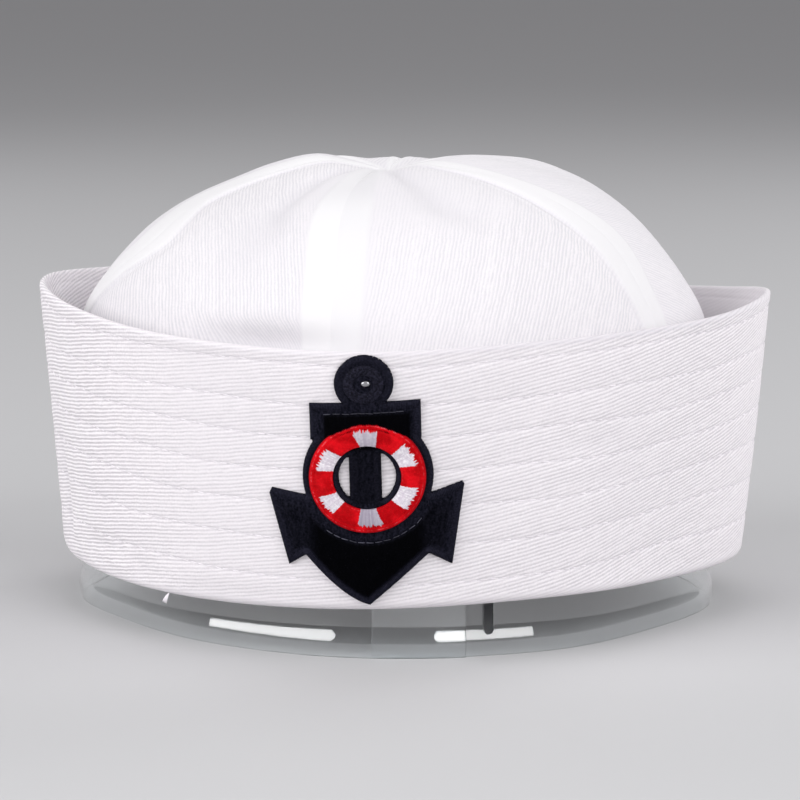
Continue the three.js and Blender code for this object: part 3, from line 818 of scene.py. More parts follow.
# For each gore, the bands beside its first and last seam and whether each is creased, then how
# its wales run. On the front gores they stand upright, by how far they lean and how wide they
# are. On the others they lie at an angle from level.
GORES = {
    1: {"bands": ("half_band", "front_half_band"), "creased": (True, False), "upright": (0.0, 0.92)},
    2: {"bands": ("front_half_band", "half_band"), "creased": (False, True), "upright": (0.28, 0.99)},
    3: {"bands": ("half_band", "back_half_band"), "creased": (False, False), "grain": -23},
    4: {"bands": ("back_half_band", "back_half_band"), "creased": (False, False), "grain": 120},
    5: {"bands": ("back_half_band", "back_half_band"), "creased": (False, False), "grain": 62},
    6: {"bands": ("back_half_band", "far_half_band"), "creased": (False, False), "grain": 110},
}
UPRIGHT_FROM = 5
# Upright wales spread out towards the sides. Past this turn, in radians, they keep one spacing,
# and the map moves on by this share of the way round.
SIDE_WALES = {"from": 1.05, "share": 0.5}
# Where the front gores' wales turn aside into the left one's hollow: below which height, how
# much, at which azimuth, and the spread in degrees.
TURN_ASIDE = {"below": 87, "share": 0.6, "azimuth": -19, "spread": 14}
# Where a gore's columns stand: shares of the band from its seam, then millimetres beyond it.
BAND_COLUMNS = np.array([0, 0.04, 0.1, 0.2, 0.35, 0.5, 0.65, 0.8, 0.9, 0.96])
BESIDE_COLUMNS = np.array([0, 0.25, 0.5, 0.75, 1.0, 1.4, 2.0, 2.9, 4.2, 6.0])
MIDDLE_COLUMNS = 34
GORE_ROWS = 170
CROWN_PITCH = 1.0
CROWN_COTTON = {
    "ridge": (0.815, 0.79, 0.815),
    "valley": (0.68, 0.665, 0.70),
    "band": (0.80, 0.79, 0.805),
    "relief": 0.06,
}


def wrapped(degrees):
    """The same angle as a turn of no more than half a circle either way."""
    return (degrees + 180) % 360 - 180


def crown_shape(azimuth, place):
    """The crown's outer surface before its cloth sinks, at azimuths and table rows.

    The radius is the table's, or the strip's near the foot, with a swell at the left. The height
    goes from the left column to the right one as a sine of the azimuth, less the drops at the
    back and front, which are powers of a cosine. The top leans across.
    """
    column = {name: through(rows, place) for name, rows in CROWN.items()}
    bottom_radius = plan("strip", azimuth) + STRIP_AIR + CROWN_CLOTH
    bottom_height = plan("fold_height", azimuth) + BRIM_PLIES + AIR + FOOT_AIR
    right_share = (1 + np.sin(np.radians(azimuth))) / 2
    share = column["strip_share"]
    radius = column["radius"] * (1 - share) + bottom_radius * share
    from_swell = wrapped(azimuth - FOOT_SWELL["azimuth"])
    up = place - FOOT_SWELL["row"]
    swell = bell(from_swell, FOOT_SWELL["spread"], up, FOOT_SWELL["row_spread"])
    radius = radius + FOOT_SWELL["out"] * swell
    height = column["left"] * (1 - right_share) + column["right"] * right_share
    behind = np.clip(-np.cos(np.radians(azimuth)), 0, None) ** 1.5
    before = np.clip(np.cos(np.radians(azimuth + FRONT_DROP_TURN)), 0, None) ** 4
    height = height + (bottom_height - CROWN["left"][0]) * share - column["back_drop"] * behind
    height = height - column["front_drop"] * before
    points = on_hat(azimuth, radius, height)
    points[..., 0] += CROWN_LEAN["across"] * ease(CROWN_LEAN["from"], CROWN_LEAN["to"], height)
    return points, radius


def crown_normals(azimuth, place):
    """The crown's outward normals, from its shape a little way to each side."""
    before, after = (crown_shape(azimuth + step, place)[0] for step in (-0.3, 0.3))
    below, above = (crown_shape(azimuth, place + step)[0] for step in (-0.02, 0.02))
    normals = unit(np.cross(after - before, above - below))
    normals[-1] = [0, 0, 1]
    return normals


def gore_columns(arc, halves):
    """How far a gore's columns are from its first seam, all round the gore, in each row.

    They follow both bands at fixed distances from their seams, squeezed where the gore is too
    narrow for that, and are spread evenly between.
    """
    sides = []
    for half in halves:
        side = np.concatenate([BAND_COLUMNS * half, BESIDE_COLUMNS + half], axis=1)
        sides.append(side * np.minimum(1, 0.45 * arc / side[:, -1:]))
    first, last = sides[0], arc - sides[1][:, ::-1]
    share = np.linspace(0, 1, MIDDLE_COLUMNS + 2)[1:-1]
    middle = first[:, -1:] + (last[:, :1] - first[:, -1:]) * share
    return np.concatenate([first, middle, last], axis=1)


def from_valley(azimuth, place, radius, valley):
    """How far to the right of a valley's middle line each point is, in millimetres."""
    rows, middles, _ = valley
    return np.radians(azimuth - np.interp(place, rows, middles)) * radius


def dips(azimuth, place, radius):
    """Each hollow's and each valley's depth and shade, and its bell curve over the gore."""
    for centre, row, spread, row_spread, depth, dark in HOLLOWS:
        yield depth, dark, bell(wrapped(azimuth - centre), spread, place - row, row_spread)
    for valley in VALLEYS:
        rows, _, half_widths = valley
        deep = ease(VALLEY["from"], VALLEY["full"], place)
        deep = deep * (1 - ease(VALLEY["fades"], VALLEY["to"], place))
        across = from_valley(azimuth, place, radius, valley)
        deep = deep * bell(across, np.interp(place, rows, half_widths))
        yield VALLEY["depth"], VALLEY["shade"], deep


def gore_weave(number, azimuth, place, radius, from_band, shade):
    """How strongly a gore's weave shows: less where its shade is painted, and less on its bands.

    On the left front gore the cloth is smooth from its valley to the front band. On the right
    front gore the weave shows more towards the right and less towards the top. On the others it
    is weaker all over.
    """
    weave = np.clip(1.0 - 1.5 * shade, 0.1, 1) * (0.35 + 0.65 * ease(0, 3, from_band))
    if number == 1:
        past_valley = ease(-2, 2, from_valley(azimuth, place, radius, VALLEYS[0]))
        return weave * (1 - 0.95 * ease(7.0, 8.8, place) * past_valley)
    if number == 2:
        return weave * (0.6 + 0.6 * ease(0, 40, azimuth)) * (1 - 0.5 * ease(6.4, 7.6, place))
    return weave * 0.7


def band_shades(number, place, from_bands):
    """The shade on a gore's halves of the front band and of the band to the right of it.

    The front band is shaded near the top, and on its right half. The other is shaded low down.
    """
    for seam, from_band in zip((number, number + 1), from_bands):
        within = 1 - ease(-0.8, 0.6, from_band)
        if seam == 2:
            yield within * (BAND_SHADE["top"] * ease(7.5, 8.9, place))
            yield within * BAND_SHADE["half"] * (number == 2)
        if seam == 3:
            yield BAND_SHADE["side"] * within * (1 - ease(5.5, 7.5, place))


def gore_cloth(number, azimuth, radius, across, up, height):
    """Each point's place on a gore's cloth, along its wales and then across them.

    Upright wales follow the sine of the azimuth, so that they look evenly spaced from the
    front, and lean with the height. The others are the gore's own two directions, turned.
    """
    if "upright" in GORES[number]:
        lean, width = GORES[number]["upright"]
        turn = np.radians(azimuth - UPRIGHT_FROM)
        beyond = SIDE_WALES["share"] * np.maximum(abs(turn) - SIDE_WALES["from"], 0)
        side = np.sign(turn) * (np.sin(np.minimum(abs(turn), SIDE_WALES["from"])) + beyond)
        aside = bell(azimuth - TURN_ASIDE["azimuth"], TURN_ASIDE["spread"])
        aside = aside * np.minimum(height - TURN_ASIDE["below"], 0)
        over = (radius * side - lean * height + TURN_ASIDE["share"] * aside) / width
        return np.stack([up + 0 * azimuth, over], -1)
    lie = np.radians(GORES[number]["grain"])
    along = across * np.cos(lie) + up * np.sin(lie)
    return np.stack([along, up * np.cos(lie) - across * np.sin(lie)], -1)


def gore(number, finish):
    """One panel between two seams, as a closed shell with a map of its cloth.

    Its relief is the raised bands, the seams drawn in at the top, and the hollows, valleys and
    creases of the tables above, each a bell curve across itself.
    """
    place = np.linspace(0, len(CROWN["radius"]) - 1, GORE_ROWS)[:, None]
    seams = (SEAMS[number - 1], SEAMS[number % len(SEAMS)])
    first, last = (through(seam, place) for seam in seams)
    last = np.where(last < first, last + 360, last)
    arc = np.radians(last - first) * through(CROWN["radius"], place)
    halves = [through(CROWN[band], place) for band in GORES[number]["bands"]]
    from_first = gore_columns(arc, halves)
    azimuth = first + (last - first) * from_first / arc
    points, radius = crown_shape(azimuth, place)
    normals = crown_normals(azimuth, place)
    from_edges = [from_first, arc - from_first]
    to_edge = np.minimum(*from_edges)
    from_bands = [edge - half for edge, half in zip(from_edges, halves)]
    from_band = np.minimum(*from_bands)
    groove = bell(to_edge, BAND["groove_width"]) * (1 - ease(7, 8.2, place))
    out = BAND["raised"] * (1 - ease(-BAND["edge"], BAND["edge"], from_band))
    out = out - BAND["groove"] * groove
    out = out - SEAM_DIP["depth"] * np.exp(-to_edge / SEAM_DIP["width"]) * ease(8.5, 10.5, place)
    shade = 0
    for depth, dark, curve in dips(azimuth, place, radius):
        out = out - depth * curve
        shade = shade + dark * curve
    weave = gore_weave(number, azimuth, place, radius, from_band, shade)
    for band_shade in band_shades(number, place, from_bands):
        shade = shade + band_shade
    for creased, from_one in zip(GORES[number]["creased"], from_bands):
        beside = from_one - CREASE["beside"]
        fold = creased * (0.3 + 0.7 * ease(*CREASE["full"], place))
        fold = fold * bell(beside, CREASE["half_width"])
        slope = creased * bell(beside - CREASE_SLOPE["beyond"], CREASE_SLOPE["width"])
        out = out - CREASE["depth"] * fold - CREASE_SLOPE["depth"] * slope
        shade = shade + CREASE["shade"] * fold
    outer = points + normals * out[..., None]
    # Where the strip stands behind, the inside hardly sinks and the cloth only thins.
    sunk = np.maximum(np.minimum(out, 0), -STRIP_SIDE_SINK - FREE_SINK * ease(*STRIP_TOP_ROWS, place))
    inner = points + normals * (sunk - CROWN_CLOTH)[..., None]
    count = azimuth.size
    rows, columns = grid_faces(*azimuth.shape)
    faces = shell_faces(rows * azimuth.shape[1] + columns, count)
    middle = outer[:, azimuth.shape[1] // 2]
    up = np.concatenate([[0], np.cumsum(np.linalg.norm(np.diff(middle, axis=0), axis=1))])[:, None]
    cloth = gore_cloth(number, azimuth, radius, from_first - arc / 2, up, outer[..., 2])
    attributes = {"from_band": from_band, "shade": shade, "weave": weave}
    return make_piece(
        f"gore_{number}",
        np.concatenate([outer.reshape(-1, 3), inner.reshape(-1, 3)]),
        faces,
        finish,
        "crown_cotton",
        uv=cloth.reshape(-1, 2)[faces % count],
        attributes={key: np.tile(values.ravel(), 2) for key, values in attributes.items()},
        replaces=[f"crown_gore_{number}"],
    )


crown_cotton = twill_finish("crown_twill", CROWN_COTTON, CROWN_PITCH, stray=0.9, broken=0.9)
for number in GORES:
    gore(number, crown_cotton)

# ---- The anchor patch ----
# An embroidered anchor, stitched down on the brim's front: navy satin stitch over a padded
# backing, with a satin border, a black padded shield and stock, and two windows by the shank.
PATCH = {
    "right_of_front": 1.5,
    "below_rim": 33.75,
    "arm_tilt": 2.4,
    "shank_lean": 0.5,
    "thickness": 1.2,
    "eye_height": 25.85,
    "eye_radius": 7.5,
    "neck_half": 5.5,
    "stock_half": 14.15,
    "stock_bottom": 11.0,
    "stock_top": 20.8,
    "disc": (0.2, 1.0),
    "disc_radius": 16.75,
    "window_radius": 7.25,
    "shank": (-4.3, 3.85),
}
FLUKES = {  # where the disc's edge ends, then the tip, the blunt end of it, barb and notch
    "right": [-18, (24.3, -1.9), (24.75, -2.7), (21.1, -24.1), (15.2, -20.6)],
    "left": [197, (-25.4, -2.3), (-26.2, -3.7), (-21.2, -23.1), (-16.4, -20.3)],
}
POINT = (0, -34.0)
POINT_BULGE = {"right": (7.1, -28.0), "left": (-6.6, -32.3)}
PATCH_CELL = 0.33
BORDER = 1.9
SHIELD_ARC = 17.7
SHIELD_TOP = 4
FAR_OUTSIDE = -9.0  # stands for how far inside a shape a point is, where it is nowhere near
# The embroidery's heights, and how wide each bead, groove and rounding is.
EDGE_RISE = {"backing": 0.35, "rounded": 0.75, "width": 0.8}
BEAD = {"height": 0.20, "inside": 1.0, "width": 0.55}
BORDER_GROOVE = {"depth": 0.22, "width": 0.3}
PADDING = {"height": 0.95, "run": 1.5, "groove": 0.18, "groove_width": 0.3}
SHANK_GROOVES = {"depth": 0.2, "across": (-1.2, -2.9), "widths": (0.25, 0.2)}
STOCK_FIELD = {"left": -10.7, "right": 11.8, "top": 18.3, "bottom": 8.0}
SATIN_PITCH = 0.42
NAVY = {"dark": (0.0018, 0.0022, 0.0046), "light": (0.0205, 0.0200, 0.0335)}
PADDED_BLACK = (0.0004, 0.0004, 0.0008)


def lay_on_brim(flat, lift):
    """Flat patch points, x across and y up, on the brim's front, this far out from it.

    The arms tilt and the shank leans a little, and across becomes an azimuth at the radius
    that the brim's front has at the patch's height.
    """
    x, y = flat[..., 0], flat[..., 1]
    across = PATCH["right_of_front"] + x - y * np.sin(np.radians(PATCH["shank_lean"]))
    below = PATCH["below_rim"] - y - x * np.sin(np.radians(PATCH["arm_tilt"]))
    foot, rim, length = wall_line(0.0)
    radius = rim[0] + (foot[0] - rim[0]) * below / length
    azimuth = np.degrees(across / radius)
    return wall_point(azimuth, below, waves(azimuth, below) + AIR + lift)


def arc(centre, radius, start, end, step=0.5):
    """Points along an arc, from one angle to another in degrees."""
    count = max(2, int(abs(np.radians(end - start)) * radius / step))
    angle = np.radians(np.linspace(start, end, count))
    return np.stack([centre[0] + radius * np.cos(angle), centre[1] + radius * np.sin(angle)], -1)


def bow(start, control, end, count=24):
    """Points along a quadratic curve."""
    t = np.linspace(0, 1, count)[:, None]
    start, control, end = (np.array(point, float) for point in (start, control, end))
    return start * (1 - t) ** 2 + 2 * control * t * (1 - t) + end * t * t


def anchor_outline():
    """The anchor's outer edge and the two windows, each a loop of points, and its corners."""
    disc = PATCH["disc"]
    eye = (0, PATCH["eye_height"])
    eye_angle = np.degrees(np.arccos(PATCH["neck_half"] / PATCH["eye_radius"]))
    sides, corners = {}, [[POINT]]
    for side, way in (("right", 1), ("left", -1)):
        meets, *fluke = FLUKES[side]
        rise = np.degrees(np.arcsin((PATCH["stock_bottom"] - disc[1]) / PATCH["disc_radius"]))
        disc_top = rise if way > 0 else 180 - rise
        neck = (way * PATCH["neck_half"], PATCH["stock_top"])
        stock = [(way * PATCH["stock_half"], PATCH[end]) for end in ("stock_top", "stock_bottom")]
        rim = arc(disc, PATCH["disc_radius"], disc_top, meets)
        foot = bow(fluke[-1], POINT_BULGE[side], POINT)[1:]
        sides[side] = np.concatenate([[neck], stock, rim, fluke, foot])
        corners += [stock, rim[-1:], fluke]
    over = arc(eye, PATCH["eye_radius"], 180 + eye_angle, -eye_angle)
    outer = np.concatenate([sides["right"], sides["left"][-2::-1], over])[::-1]
    windows = []
    for way, edge in ((1, PATCH["shank"][1]), (-1, PATCH["shank"][0])):
        angle = np.degrees(np.arccos(abs(edge - disc[0]) / PATCH["window_radius"]))
        middle = 0 if way > 0 else 180
        windows.append(arc(disc, PATCH["window_radius"], middle + angle, middle - angle))
    return [outer, *windows], np.concatenate(corners)


def from_outline(points, loops):
    """Distance inside the outline (negative outside), the nearest point on it, and its way along.

    The distance is to the nearest of all edges. A point is inside if a level line from it
    crosses the edges an odd number of times.
    """
    starts = np.concatenate(loops)
    ends = np.concatenate([np.roll(loop, -1, 0) for loop in loops])
    edges = ends - starts
    length = np.linalg.norm(edges, axis=1)
    begun = np.cumsum(length) - length
    offset = points[:, None] - starts
    t = np.clip((offset * edges).sum(-1) / np.maximum(length**2, 1e-12), 0, 1)
    away = offset - t[..., None] * edges
    distance = (away**2).sum(-1)
    best = distance.argmin(1)
    each = np.arange(len(points))
    nearest = points - away[each, best]
    along = begun[best] + t[each, best] * length[best]
    x, y = points[:, :1], points[:, 1:]
    spans = (starts[:, 1] > y) != (ends[:, 1] > y)
    rise = np.where(edges[:, 1] == 0, 1e-9, edges[:, 1])
    crosses = spans & (x < starts[:, 0] + (y - starts[:, 1]) / rise * edges[:, 0])
    inside = crosses.sum(1) % 2 == 1
    distance = np.sqrt(distance[each, best])
    return np.where(inside, distance, -distance), nearest, along


def from_disc(x, y):
    """How far a flat point is from the middle of the anchor's disc."""
    return np.hypot(x - PATCH["disc"][0], y - PATCH["disc"][1])


def pad_depth(x, y, edge):
    """How far inside the padded shield or the padded stock a point is, negative outside them.

    The shield lies below an arc round the lifebuoy, and the stock's field is a rectangle.
    """
    border = BORDER + 0.8 * ease(13, 17, np.abs(x))
    shield = np.minimum(edge - border, from_disc(x, y) - SHIELD_ARC)
    shield = np.where(y < SHIELD_TOP, shield, FAR_OUTSIDE)
    field = STOCK_FIELD
    sides = np.minimum(x - field["left"], field["right"] - x)
    stock = np.minimum(sides, np.minimum(field["top"] - y, y - field["bottom"]))
    return np.maximum(shield, stock)


def anchor_rise(x, y, edge):
    """The embroidery's height over the backing at flat points.

    It rounds up from its edge as a quarter circle, has a bead along the border with a groove
    inside it, and swells over the padding. The shank has two shallow grooves down it. Beads and
    grooves are bell curves.
    """
    rounding = np.sqrt(1 - (1 - np.clip(edge / EDGE_RISE["width"], 0, 1)) ** 2)
    rise = EDGE_RISE["backing"] + EDGE_RISE["rounded"] * rounding
    rise = rise + BEAD["height"] * bell(edge - BEAD["inside"], BEAD["width"])
    rise = rise - BORDER_GROOVE["depth"] * bell(edge - BORDER, BORDER_GROOVE["width"])
    pad = pad_depth(x, y, edge)
    rise = rise + PADDING["height"] * (1 - np.exp(-np.clip(pad, 0, None) / PADDING["run"]))
    rise = rise - PADDING["groove"] * bell(pad, PADDING["groove_width"])
    shank = (from_disc(x, y) < PATCH["window_radius"]) & (edge > 0.5)
    lines = zip(SHANK_GROOVES["across"], SHANK_GROOVES["widths"])
    grooves = sum(bell(x - middle, width) for middle, width in lines)
    return rise - SHANK_GROOVES["depth"] * grooves * shank


def anchor_piece(finish):
    """The anchor on a square grid, whose points near the outline are drawn onto it."""
    loops, corners = anchor_outline()
    low, high = loops[0].min(0) - 1, loops[0].max(0) + 1
    counts = np.ceil((high - low) / PATCH_CELL).astype(int) + 1
    grid = np.stack(np.meshgrid(*(low[k] + PATCH_CELL * np.arange(counts[k]) for k in (0, 1))), -1)
    flat = grid.reshape(-1, 2)
    edge, nearest, along = from_outline(flat, loops)
    drawn = np.abs(edge) < 0.5 * PATCH_CELL
    flat = np.where(drawn[:, None], nearest, flat)
    to_corner = ((flat[:, None] - corners) ** 2).sum(-1).argmin(0)
    flat[to_corner] = corners
    drawn[to_corner] = True
    edge = np.where(drawn, 0, edge)
    rows, columns = grid_faces(counts[1], counts[0])
    faces = rows * counts[0] + columns
    used, faces = only_used(faces[(edge[faces] >= 0).all(1)])
    flat, edge, along = flat[used], edge[used], along[used]
    x, y = flat.T
    front = lay_on_brim(flat, anchor_rise(x, y, edge))
    back = lay_on_brim(flat, 0.0)
    # The padding's black is weaker in the flukes, and the shank is a little dark.
    black = ease(-0.3, 0.9, pad_depth(x, y, edge))
    black = black * (0.96 - np.where(x < 0, 0.62, 0.45) * ease(12, 17, np.abs(x)))
    black = np.where(from_disc(x, y) < PATCH["window_radius"], 0.4, black)
    values = {"edge": edge, "along": along, "black": black}
    return make_piece(
        "anchor_patch",
        np.concatenate([front, back]),
        shell_faces(faces, len(used)),
        finish,
        "navy_embroidery",
        attributes={name: np.tile(value, 2) for name, value in values.items()},
        replaces=["patch_anchor"],
    )


navy_satin = Finish("navy_satin", Roughness=0.6, Specular_IOR_Level=0.015)
place = navy_satin.place()
edge = navy_satin.attribute("edge")
along = navy_satin.attribute("along")
black = navy_satin.attribute("black")
upright = navy_satin.node("Mapping", None, {"Vector": place, "Scale": (1, 1, 0.22)})
streaks = navy_satin.ramp(navy_satin.noise(upright, 1500, 2.0), 0.38, 0.72)
mottle = navy_satin.ramp(navy_satin.noise(place, 1900, 2.0), 0.32, 0.72)
threads = 0.5 + 0.5 * navy_satin.maths("SINE", along * (2 * np.pi / SATIN_PITCH))
in_border = 1.0 - navy_satin.ramp(edge, BORDER - 0.2, BORDER + 0.3)
fibre = threads * in_border + streaks * (1.0 - in_border)
light = fibre * 0.4 + mottle * 0.45 + in_border * 0.12
navy = navy_satin.mix(light, NAVY["dark"], NAVY["light"])
navy = navy_satin.mix(black, navy, PADDED_BLACK)
navy_satin.set(Base_Color=navy)
navy_satin.set(Normal=navy_satin.bump(fibre * 0.5 + mottle * 0.5, 0.12))
anchor_piece(navy_satin)

# ---- The patch's tacking threads ----
# Short stitches in dark thread, a little paler than the padding that they hold down: along the
# shield's upper arc and along the top of the stock.
ARC_TACKS = [-124, -117, -110, -103, -96, -89, -82, -75, -67, -60, -52, -44]
STOCK_TACKS = {
    "across": [-9.4, -7.0, -4.6, -2.5, -0.6, 1.3, 3.2, 5.1, 7.0, 8.9],
    "up": [18.1, 18.2, 18.1, 18.2, 18.2, 18.1, 18.2, 18.2, 18.2, 18.3],
}
TACK = {"length": 1.9, "radius": 0.13, "rise": 0.22, "sunk": 0.05, "stray": 0.06}
TACK_THREAD = {"dark": (0.018, 0.018, 0.03), "pale": (0.07, 0.07, 0.10)}

tack_thread = Finish("tack_thread", Roughness=0.5)
place = tack_thread.place()
tone = tack_thread.ramp(tack_thread.noise(place, 200, 1.0), 0.4, 0.65)
tack_thread.set(Base_Color=tack_thread.mix(tone, *TACK_THREAD.values()))
angle = np.radians(ARC_TACKS)
arc_middles = SHIELD_ARC * np.stack([np.cos(angle), np.sin(angle)], -1) + PATCH["disc"]
arc_ways = np.stack([-np.sin(angle), np.cos(angle)], -1)
stock_middles = np.stack(list(STOCK_TACKS.values()), -1)
middles = np.concatenate([arc_middles, stock_middles])
ways = np.concatenate([arc_ways, [(1.0, 0.0)] * len(stock_middles)])
ways = unit(ways + chance.normal(0, TACK["stray"], ways.shape)) * TACK["length"] / 2
tacks = thread_mesh(
    lay_on_brim(middles - ways, PATCH["thickness"] - TACK["sunk"]),
    lay_on_brim(middles + ways, PATCH["thickness"] - TACK["sunk"]),
    outward(np.zeros(len(middles))),
    TACK["radius"],
    TACK["rise"],
)
make_piece("tacking_threads", *tacks, tack_thread, "navy_embroidery")

# ---- The lifebuoy ----
# A raised ring of satin stitch: red, with six white blocks whose thread ends make jagged
# edges, and a red border stitched round the outside.
LIFEBUOY = {"inner": 8.6, "outer": 14.75, "height": 1.3, "border": 13.2}
BUOY_GROOVE = {"depth": 0.22, "width": 0.28}
# Middle and half width of each white block, in degrees anticlockwise from the patch's right,
# at its inner end and then at its outer end.
BLOCKS = [
    (86.5, 13.1, 91.5, 14.3),
    (30.5, 13.3, 28.2, 15.5),
    (-30.5, 15.0, -28.0, 14.2),
    (-88.6, 13.2, -86.9, 14.6),
    (-143.7, 11.2, -146.5, 13.0),
    (150.9, 15.4, 155.5, 14.3),
]
LIFEBUOY_THREADS = 216
THREAD_COLUMNS = 5
RING_SUNK = 0.15  # how far the patch's raised rings are sewn into it
# A white thread ends this far beyond the border, at least and at most, and its point is this
# long. A block's sides stray by the last figure.
WHITE_THREAD = {"end": (-0.7, 0.3), "point": 0.45, "stray": 0.12}
PALE_LINES = {"outer": 14.1, "inner": 8.9}  # thin pale lines at these radii: partly pale stitches, partly painted highlight
RED = {"dark": (0.44, 0.001, 0.004), "bright": (0.78, 0.005, 0.012)}
RED_PALE = (0.75, 0.20, 0.24)
RED_EDGE = (0.25, 0.002, 0.006)
WHITE = {"dull": (0.72, 0.66, 0.73), "bright": (0.93, 0.90, 0.93)}
WHITE_TONE_AND_SHADE = (0.36, 0.32, 0.40)


def ring_section(section):
    """A section's radii and heights as two columns, from its outer foot up and over its top."""
    radius, height = np.array(section, float).T
    return radius[:, None], height[:, None]


def turned_ring(name, radius, height, middle, finish, slot, node, attributes=None):
    """A ring on the patch. Rows go round its section and columns go round its middle."""
    rows, columns = np.broadcast_shapes(radius.shape, height.shape)
    angle = np.linspace(0, 2 * np.pi, columns, endpoint=False)
    flat = np.stack([middle[0] + radius * np.cos(angle), middle[1] + radius * np.sin(angle)], -1)
    points = lay_on_brim(flat, PATCH["thickness"] - RING_SUNK + height)
    row, column = grid_faces(rows, columns, wrap_rows=True, wrap_columns=True)
    faces = (row % rows) * columns + column % columns
    return make_piece(name, points, faces, finish, slot, attributes=attributes, replaces=[node])


def lifebuoy_section(columns):
    """The lifebuoy's section at each column, with radial threads.

    It is one low arch with a shallow groove where the border begins, ridged by threads that
    run outwards, one cosine wave to a thread.
    """
    inner, outer = LIFEBUOY["inner"], LIFEBUOY["outer"]
    t = np.linspace(0, 1, 27)
    radius = outer - (outer - inner) * t
    height = LIFEBUOY["height"] * (0.35 + 0.65 * np.sin(np.pi * (0.04 + 0.92 * t)) ** 0.6)
    height = height - BUOY_GROOVE["depth"] * bell(radius - LIFEBUOY["border"], BUOY_GROOVE["width"])
    radius = np.concatenate([[outer], radius, [inner], [outer - 1.0]])[:, None]
    height = np.concatenate([[0], height, [0], [0]])[:, None]
    thread = np.arange(columns) / THREAD_COLUMNS
    ridge = 0.05 * np.cos(2 * np.pi * thread) + 0.04 * np.sin(thread * 0.9) * np.sin(thread * 0.37)
    return radius + 0 * ridge, np.where(height > 0, height + ridge, 0.0)


columns = LIFEBUOY_THREADS * THREAD_COLUMNS
radius, height = lifebuoy_section(columns)
angle = np.arange(columns) * 360 / columns
share = np.clip((radius - LIFEBUOY["inner"]) / (LIFEBUOY["border"] - LIFEBUOY["inner"]), 0, 1)
inside_block = np.full(radius.shape, FAR_OUTSIDE)
for middle, half, outer_middle, outer_half in BLOCKS:
    off_middle = wrapped(angle - middle - (outer_middle - middle) * share)
    here = half + (outer_half - half) * share - np.abs(off_middle)
    inside_block = np.maximum(inside_block, here)
thread = np.arange(columns) // THREAD_COLUMNS
across_thread = np.abs((np.arange(columns) % THREAD_COLUMNS) / THREAD_COLUMNS - 0.4) * 2
thread_end = LIFEBUOY["border"] + chance.uniform(*WHITE_THREAD["end"], LIFEBUOY_THREADS)[thread]
thread_end = thread_end - WHITE_THREAD["point"] * across_thread
side_stray = chance.uniform(-WHITE_THREAD["stray"], WHITE_THREAD["stray"], radius.shape[0])[:, None]
white = np.minimum(np.radians(inside_block) * radius + side_stray, thread_end - radius)
# The top and bottom blocks get painted shade where their threads run upright, and threads differ.
up_share = np.sin(np.radians(angle))
thread_tone_and_shade = chance.uniform(0, 0.3, LIFEBUOY_THREADS)[thread] + up_share**8 * (0.66 - 0.12 * up_share)
red_white = Finish("lifebuoy_satin", Roughness=0.4, Specular_IOR_Level=0.04)
white_share = red_white.ramp(red_white.attribute("white"), -0.08, 0.08)
ring_radius = red_white.attribute("ring_radius")
place = red_white.place()
speckle = red_white.ramp(red_white.noise(place, 1500, 2.0), 0.4, 0.75)
from_line = red_white.maths("ABSOLUTE", ring_radius - PALE_LINES["outer"])
line = 1.0 - red_white.ramp(from_line, 0.03, 0.20)
from_line = red_white.maths("ABSOLUTE", ring_radius - PALE_LINES["inner"])
inner_line = 1.0 - red_white.ramp(from_line, 0.02, 0.18)
blotches = red_white.ramp(red_white.noise(place, 230, 1.0), 0.4, 0.62)
red = red_white.mix(speckle * 0.3 + blotches * 0.7, RED["dark"], RED["bright"])
# Thin pale lines, partly pale stitches and partly painted highlight, broken up in patches.
pale = (line * 0.7 + inner_line * 0.35) * speckle * (0.3 + 0.7 * blotches)
red = red_white.mix(pale, red, RED_PALE)
red = red_white.mix(red_white.ramp(ring_radius, 14.4, 14.7) * 0.8, red, RED_EDGE)
white_thread = red_white.mix(speckle, WHITE["dull"], WHITE["bright"])
# Painted shade on the top and bottom blocks, with each thread's own tone.
white_thread = red_white.mix(red_white.attribute("thread_tone_and_shade"), white_thread, WHITE_TONE_AND_SHADE)
red_white.set(Base_Color=red_white.mix(white_share, red, white_thread))
red_white.set(Normal=red_white.bump(speckle, 0.06))
turned_ring(
    "lifebuoy",
    radius,
    height,
    PATCH["disc"],
    red_white,
    "red_white_embroidery",
    "patch_lifebuoy",
    {"white": white, "ring_radius": radius + 0 * white, "thread_tone_and_shade": thread_tone_and_shade + 0 * white},
)

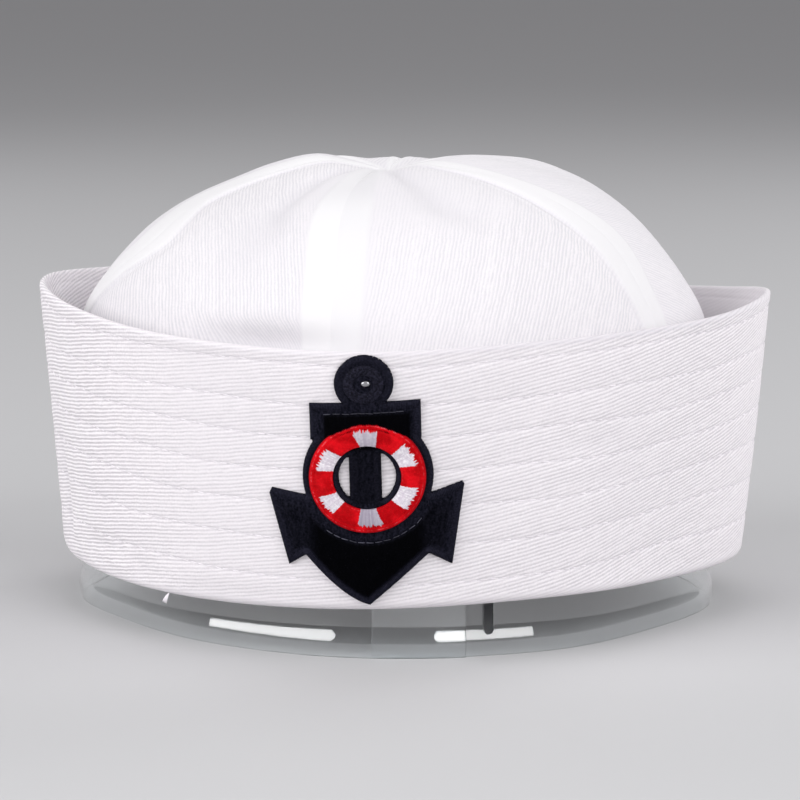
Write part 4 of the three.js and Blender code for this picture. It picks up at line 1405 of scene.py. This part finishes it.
# ---- The anchor's eye ----
# A raised ring of navy thread wound round a dimple, and a small bright pin through the middle.
EYE_RING = [  # radius and height over the patch, and back along the underside
    (5.0, 0),
    (5.05, 0.18),
    (4.8, 0.38),
    (4.4, 0.46),
    (4.0, 0.40),
    (3.6, 0.50),
    (3.1, 0.52),
    (2.7, 0.38),
    (2.4, 0.15),
    (2.35, 0),
    (3.6, -0.05),
]
EYE_COLUMNS = 360
EYE_THREADS = 60
EYE_RIDGE = 0.03
EYE_THREAD = {"dark": (0.004, 0.004, 0.008), "pale": (0.023, 0.022, 0.038)}
PIN = {"right": 0.6, "up": 26.1, "sunk": 0.1}
PIN_COLUMNS = 16
PIN_COLOUR = (0.40, 0.40, 0.42)
PIN_SECTION = [(1.2, 0.0), (1.2, 0.25), (1.0, 0.5), (0.6, 0.68), (0.2, 0.74), (0.05, 0.75)]
PIN_FLAT = 0.68  # its height as a share of its width

ring_radius, ring_height = ring_section(EYE_RING)
wound = np.cos(np.arange(EYE_COLUMNS) * 2 * np.pi / (EYE_COLUMNS / EYE_THREADS))
ring_height = np.where(ring_height > 0, ring_height + EYE_RIDGE * wound, ring_height)
eye_satin = Finish("eye_satin", Roughness=0.5, Specular_IOR_Level=0.05)
place = eye_satin.place()
wisps = eye_satin.ramp(eye_satin.noise(place, 1800, 3.0), 0.3, 0.75)
eye_satin.set(Base_Color=eye_satin.mix(wisps, *EYE_THREAD.values()))
eye_satin.set(Normal=eye_satin.bump(wisps, 0.15))
turned_ring(
    "eye_ring",
    ring_radius + 0 * ring_height,
    ring_height,
    (0, PATCH["eye_height"]),
    eye_satin,
    "navy_embroidery",
    "patch_eye_ring",
)

pin_radius, pin_height = ring_section(PIN_SECTION)
angle = np.linspace(0, 2 * np.pi, PIN_COLUMNS, endpoint=False)
pin_flat = [
    PIN["right"] + pin_radius * np.cos(angle),
    PIN["up"] + pin_radius * np.sin(angle) * PIN_FLAT,
]
pin_points = lay_on_brim(np.stack(pin_flat, -1), PATCH["thickness"] - PIN["sunk"] + pin_height)
pin_faces = capped_faces(len(pin_radius), PIN_COLUMNS)
pin_metal = Finish("pin_metal", Base_Color=PIN_COLOUR, Metallic=1.0, Roughness=0.28)
place = pin_metal.place()
pin_metal.set(Normal=pin_metal.bump(pin_metal.noise(place, 1500, 2.0), 0.08))
make_piece("eye_pin", pin_points, pin_faces, pin_metal, "bright_pin", replaces=["patch_eye_pin"])
